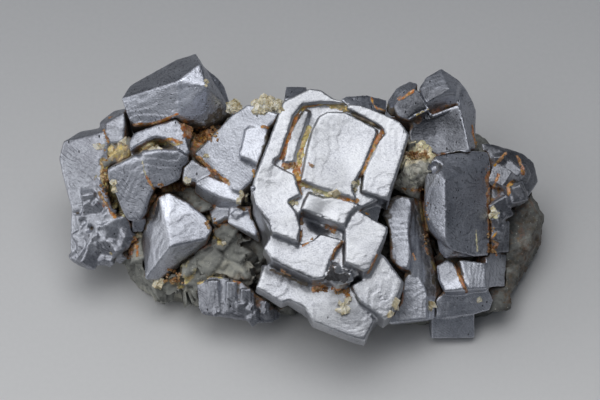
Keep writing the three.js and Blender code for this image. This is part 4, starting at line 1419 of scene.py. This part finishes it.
PLATEAU = (3, 18)  # yaw and pitch of the broad bright faces
# painted highlight and shade: each cluster's gains brighten or darken faces that look one way, some only around a
# pixel
CLUSTERS: tuple[CrystalCluster, ...] = (
    CrystalCluster(
        "galena_middle", "stepped_crystal", FRAMED_GALENA, pit_share=0.1, rounding=1, wave_mm=0.2, film=0.15,
        bends=(Bend(5, -23, 0.45, -0.9, 0.01, 9), Bend(17, -9, 0.7, -0.7, 0.005, 6)),
        dishes=(Dish(9.5, 13.5, 26.7, 10, 0.55, *PLATEAU), Dish(-7, 2, 30.6, 8, 0.4, *PLATEAU),
                Dish(5.5, -5, 26.3, 4.6, 1.8, *PLATEAU), Dish(16, -15, 29, 5, -0.3, *PLATEAU)),
        knobs=groups((330, 274, 1, 1.5, 2, 3.4, -0.7), (346, 276, 1, 1.5, 2, 3.2, -0.7),
                     (339, 282, 2.5, 0.7, 2, 2.8, -0.5), (337, 271, 3, 1, 2, 2.8, -0.5)),
        # painted shadow: the four gains of -0.75 darken the bright faces just under the step; the rest are painted
        # highlight and shade
        painted_light_and_shade=tuple(PaintedLightAndShade(*PLATEAU, *row) for row in (
            (-0.22, 30, 325, 180, 24), (-0.75, 60, 271, 267, 9), (-0.75, 60, 284, 273, 9), (-0.75, 60, 297, 279, 9),
            (-0.75, 60, 309, 284, 9), (-0.1, 30, 364, 240, 30), (-0.16, 30, 303, 97, 22), (-0.3, 30, 345, 300, 16),
            (0.1, 30, 374, 292, 24), (-0.45, 30, 304, 128, 14)))),
    CrystalCluster(
        "galena_middle_left", "grey_face_crystals", SATIN_GALENA, pit_share=0.15,
        painted_light_and_shade=(PaintedLightAndShade(4, 20, 0.2, 8), PaintedLightAndShade(-13, 4, 0.05, 8), PaintedLightAndShade(2, 10, -0.6, 14, 193, 168, 20),
                PaintedLightAndShade(-9, 16, -0.3, 16, 240, 215, 16)),
        knobs=groups((238, 212, 10, 6, 4, 1.6), (248, 196, 6, 10, 6, 1.2))),
    CrystalCluster(
        "galena_corner", "cube_corner", SATIN_GALENA, pit_share=0.12, rounding=3, wave_mm=0.07,
        painted_light_and_shade=(PaintedLightAndShade(12, 22, 0.6, 24), PaintedLightAndShade(12, 22, -0.5, 24, 182, 242, 28), PaintedLightAndShade(-54, 6, -0.3, 24))),
    CrystalCluster("galena_inner_left", "rounded_blocks", ETCHED_GALENA, pit_share=0.2, rounding=7,
                   painted_light_and_shade=(PaintedLightAndShade(0, 0, 0.12, 40), PaintedLightAndShade(0, 30, -0.3, 16))),
    CrystalCluster(
        "galena_peak", "tall_block", ETCHED_GALENA, rounding=1, wave_mm=0.15,
        painted_light_and_shade=(PaintedLightAndShade(9, 25, 0.8, 10), PaintedLightAndShade(-30, 60, -0.1, 25), PaintedLightAndShade(31, -28, 0.9, 30), PaintedLightAndShade(-11, -9, 0.25, 24))),
    CrystalCluster(
        "galena_left", "left_end_crystals", WORN_GALENA, rounding=8, wave_mm=0.2, painted_light_and_shade=(PaintedLightAndShade(-21, 2, 0.04, 30),),
        knobs=groups((98, 232, 18, 18, 16, 3), (118, 244, 12, 12, 10, 2.6), (96, 204, 9, 10, 5, 2.6),
                     (82, 258, 6, 4, 5, 3.2), (112, 261, 12, 3, 6, 2.8))),
    CrystalCluster(
        "galena_column", "column_crystals", SATIN_GALENA, rounding=3, groove_mm=0.1, groove_way=(1.0, 0.05, 0.2),
        groove_spacing_mm=1.3, painted_light_and_shade=(PaintedLightAndShade(83, 6, 0.9, 35), PaintedLightAndShade(26, 4, 0.3, 20))),
    CrystalCluster("galena_right_cube", "dark_cube", ETCHED_GALENA, pit_share=0.35,
                   painted_light_and_shade=(PaintedLightAndShade(-34, 0, 0.5, 20), PaintedLightAndShade(40, 5, 0.05, 30))),
    CrystalCluster(
        "galena_right_foot", "cube_foot", SATIN_GALENA, groove_mm=0.08, groove_way=(1.0, -0.1, 0.0),
        groove_spacing_mm=0.9, painted_light_and_shade=(PaintedLightAndShade(12, 14, 0.1, 30), PaintedLightAndShade(0, 14, -0.6, 40, 448, 270, 12))),
    CrystalCluster(
        "galena_upper_right", "leaning_cubes", ETCHED_GALENA, pit_share=0.3,
        painted_light_and_shade=(PaintedLightAndShade(-5, 12, -0.8), PaintedLightAndShade(-4, 14, -0.4, 18, 424, 90, 30)),
        dishes=(Dish(34.5, 17, 14.2, 10, 2.2, -6, 10),)),
    CrystalCluster("galena_upper_ledge", "shoulder_ledge", ETCHED_GALENA),
    CrystalCluster(
        "galena_right_end", "right_end_crystals", WORN_GALENA, wave_mm=0.25, rounding=4,
        painted_light_and_shade=(PaintedLightAndShade(20, 15, -0.65, 45),),
        knobs=groups((506, 172, 16, 14, 4, 4.2), (500, 215, 9, 22, 6, 3.4), (515, 192, 6, 8, 2, 4))),
    CrystalCluster(
        "galena_grooved", "grooved_block", WORN_GALENA, painted_light_and_shade=(PaintedLightAndShade(0, 10, -0.35, 60),), groove_mm=0.18,
        groove_way=(1.0, 0.08, 0.0), groove_spacing_mm=0.9,
        knobs=groups((236, 310, 24, 4, 5, 1.8), (262, 312, 10, 8, 7, 2.2))),
    *(CrystalCluster(f"galena_back_{place}", f"back_cubes_{place}", ETCHED_GALENA)
      for place in ("left", "middle", "right")),
)

CREAM_GROUPS = groups(
    (150, 148, 9, 2, 9, 1.3), (113, 188, 2, 9, 8, 0.8), (124, 141, 2, 4, 4, 1.2), (99, 147, 3, 2, 4, 1),
    (292, 203, 3, 1, 4, 1), (326, 194, 12, 2, 14, 0.9), (355, 187, 1.5, 4, 5, 0.9), (343, 307, 4, 5, 12, 1.1),
    (348, 300, 3, 3, 5, 0.9), (395, 305, 2, 3, 4, 1.1), (390, 314, 2, 3, 3, 0.9), (431, 307, 2, 3, 4, 1.3),
    (494, 213, 3, 4, 7, 1.1), (187, 181, 3, 2, 3, 1.2), (138, 235, 1.5, 1.5, 2, 1.4), (187, 275, 4, 3, 6, 1.3),
    (160, 283, 3, 2, 4, 1.3), (112, 251, 2, 2, 3, 1.1), (243, 197, 4, 7, 8, 1), (206, 83, 1.5, 3, 3, 1),
    (222, 240, 3, 4, 4, 1.1), (478, 300, 3, 3, 3, 0.7), (206, 156, 3, 3, 3, 0.8),
)
CRUMB_GROUPS = groups(
    (417, 156, 11, 4, 44, 0.5, -7), (414, 190, 9, 1.5, 14, 0.5, -2), (204, 134, 14, 8, 50, 0.5),
    (182, 276, 18, 7, 30, 0.6), (114, 152, 10, 4, 30, 0.5), (104, 180, 4, 22, 36, 0.5), (170, 187, 14, 3, 30, 0.5),
    (133, 245, 5, 9, 20, 0.5), (320, 289, 7, 2.5, 40, 0.5), (341, 291, 8, 3, 24, 0.45), (426, 225, 3, 24, 30, 0.5),
    (215, 226, 9, 8, 20, 0.6), (492, 240, 5, 12, 30, 0.5), (338, 277, 6, 4, 12, 0.6, -0.8),
    (290, 165, 6, 4, 24, 0.4),
)
TUFT_GROUPS = groups(
    (262, 107, 7, 5, 70, 1.3, 0.1), (272, 103, 7, 5, 70, 1.2, 0.1), (267, 98, 6, 3, 40, 1, 0.1),
    (279, 107, 3, 5, 24, 1.1, 0.1),
)
BEAD_GROUPS = groups(
    (233, 106, 3, 4, 30, 1.2, 0.1), (238, 108, 2, 3, 12, 1, 0.1),
)


def main() -> None:
    """Builds the specimen's pieces in order, then the floor, the light and the camera."""
    bpy.context.scene.view_settings.view_transform = "Standard"
    side = DisplaySide()
    rock = HostRock()
    for cluster in CLUSTERS:
        cluster.shape(side)
    rock.shape()
    surfaces = [part.surface for part in (*CLUSTERS, rock)]
    Specimen().shelter(surfaces)
    front = DepthMap(np.concatenate([s.points for s in surfaces]), VIEW_WAY, FRONT_CELL_MM)
    finishes = {lustre: lustre.material() for lustre in (FRAMED_GALENA, SATIN_GALENA, ETCHED_GALENA, WORN_GALENA)}
    for cluster in CLUSTERS:
        cluster.dress(finishes[cluster.lustre], front)
    stone = BrokenRock().material()
    rock.dress(stone, front)
    SeamFilling().build(side, stone)
    cream = Calcite("calcite_cream", "#ab9a73", "#d6ccb0", "#efeadb").material()
    rusty = Calcite("rusty_crumbs", "#5d4029", "#9c7047", "#c0a67a").material()
    for crystals, finish in (
        (SmallCrystals("calcite_tuft_crystals", "calcite", TUFT_GROUPS, 5, replaces=("calcite_tuft",)), cream),
        (SmallCrystals("calcite_bead_crystals", "calcite", BEAD_GROUPS, 6, replaces=("calcite_bead",)), cream),
        (SmallCrystals("calcite_rhombs", "calcite", CREAM_GROUPS, 7), cream),
        (SmallCrystals("rusty_crumbs", "host_rock", CRUMB_GROUPS, 8, lean=0.15), rusty),
    ):
        crystals.build(side, finish)
    Backdrop().build()
    StudioLight().build()
    build_camera()


if __name__ == "__main__":
    logging.basicConfig(level=logging.INFO)
    main()
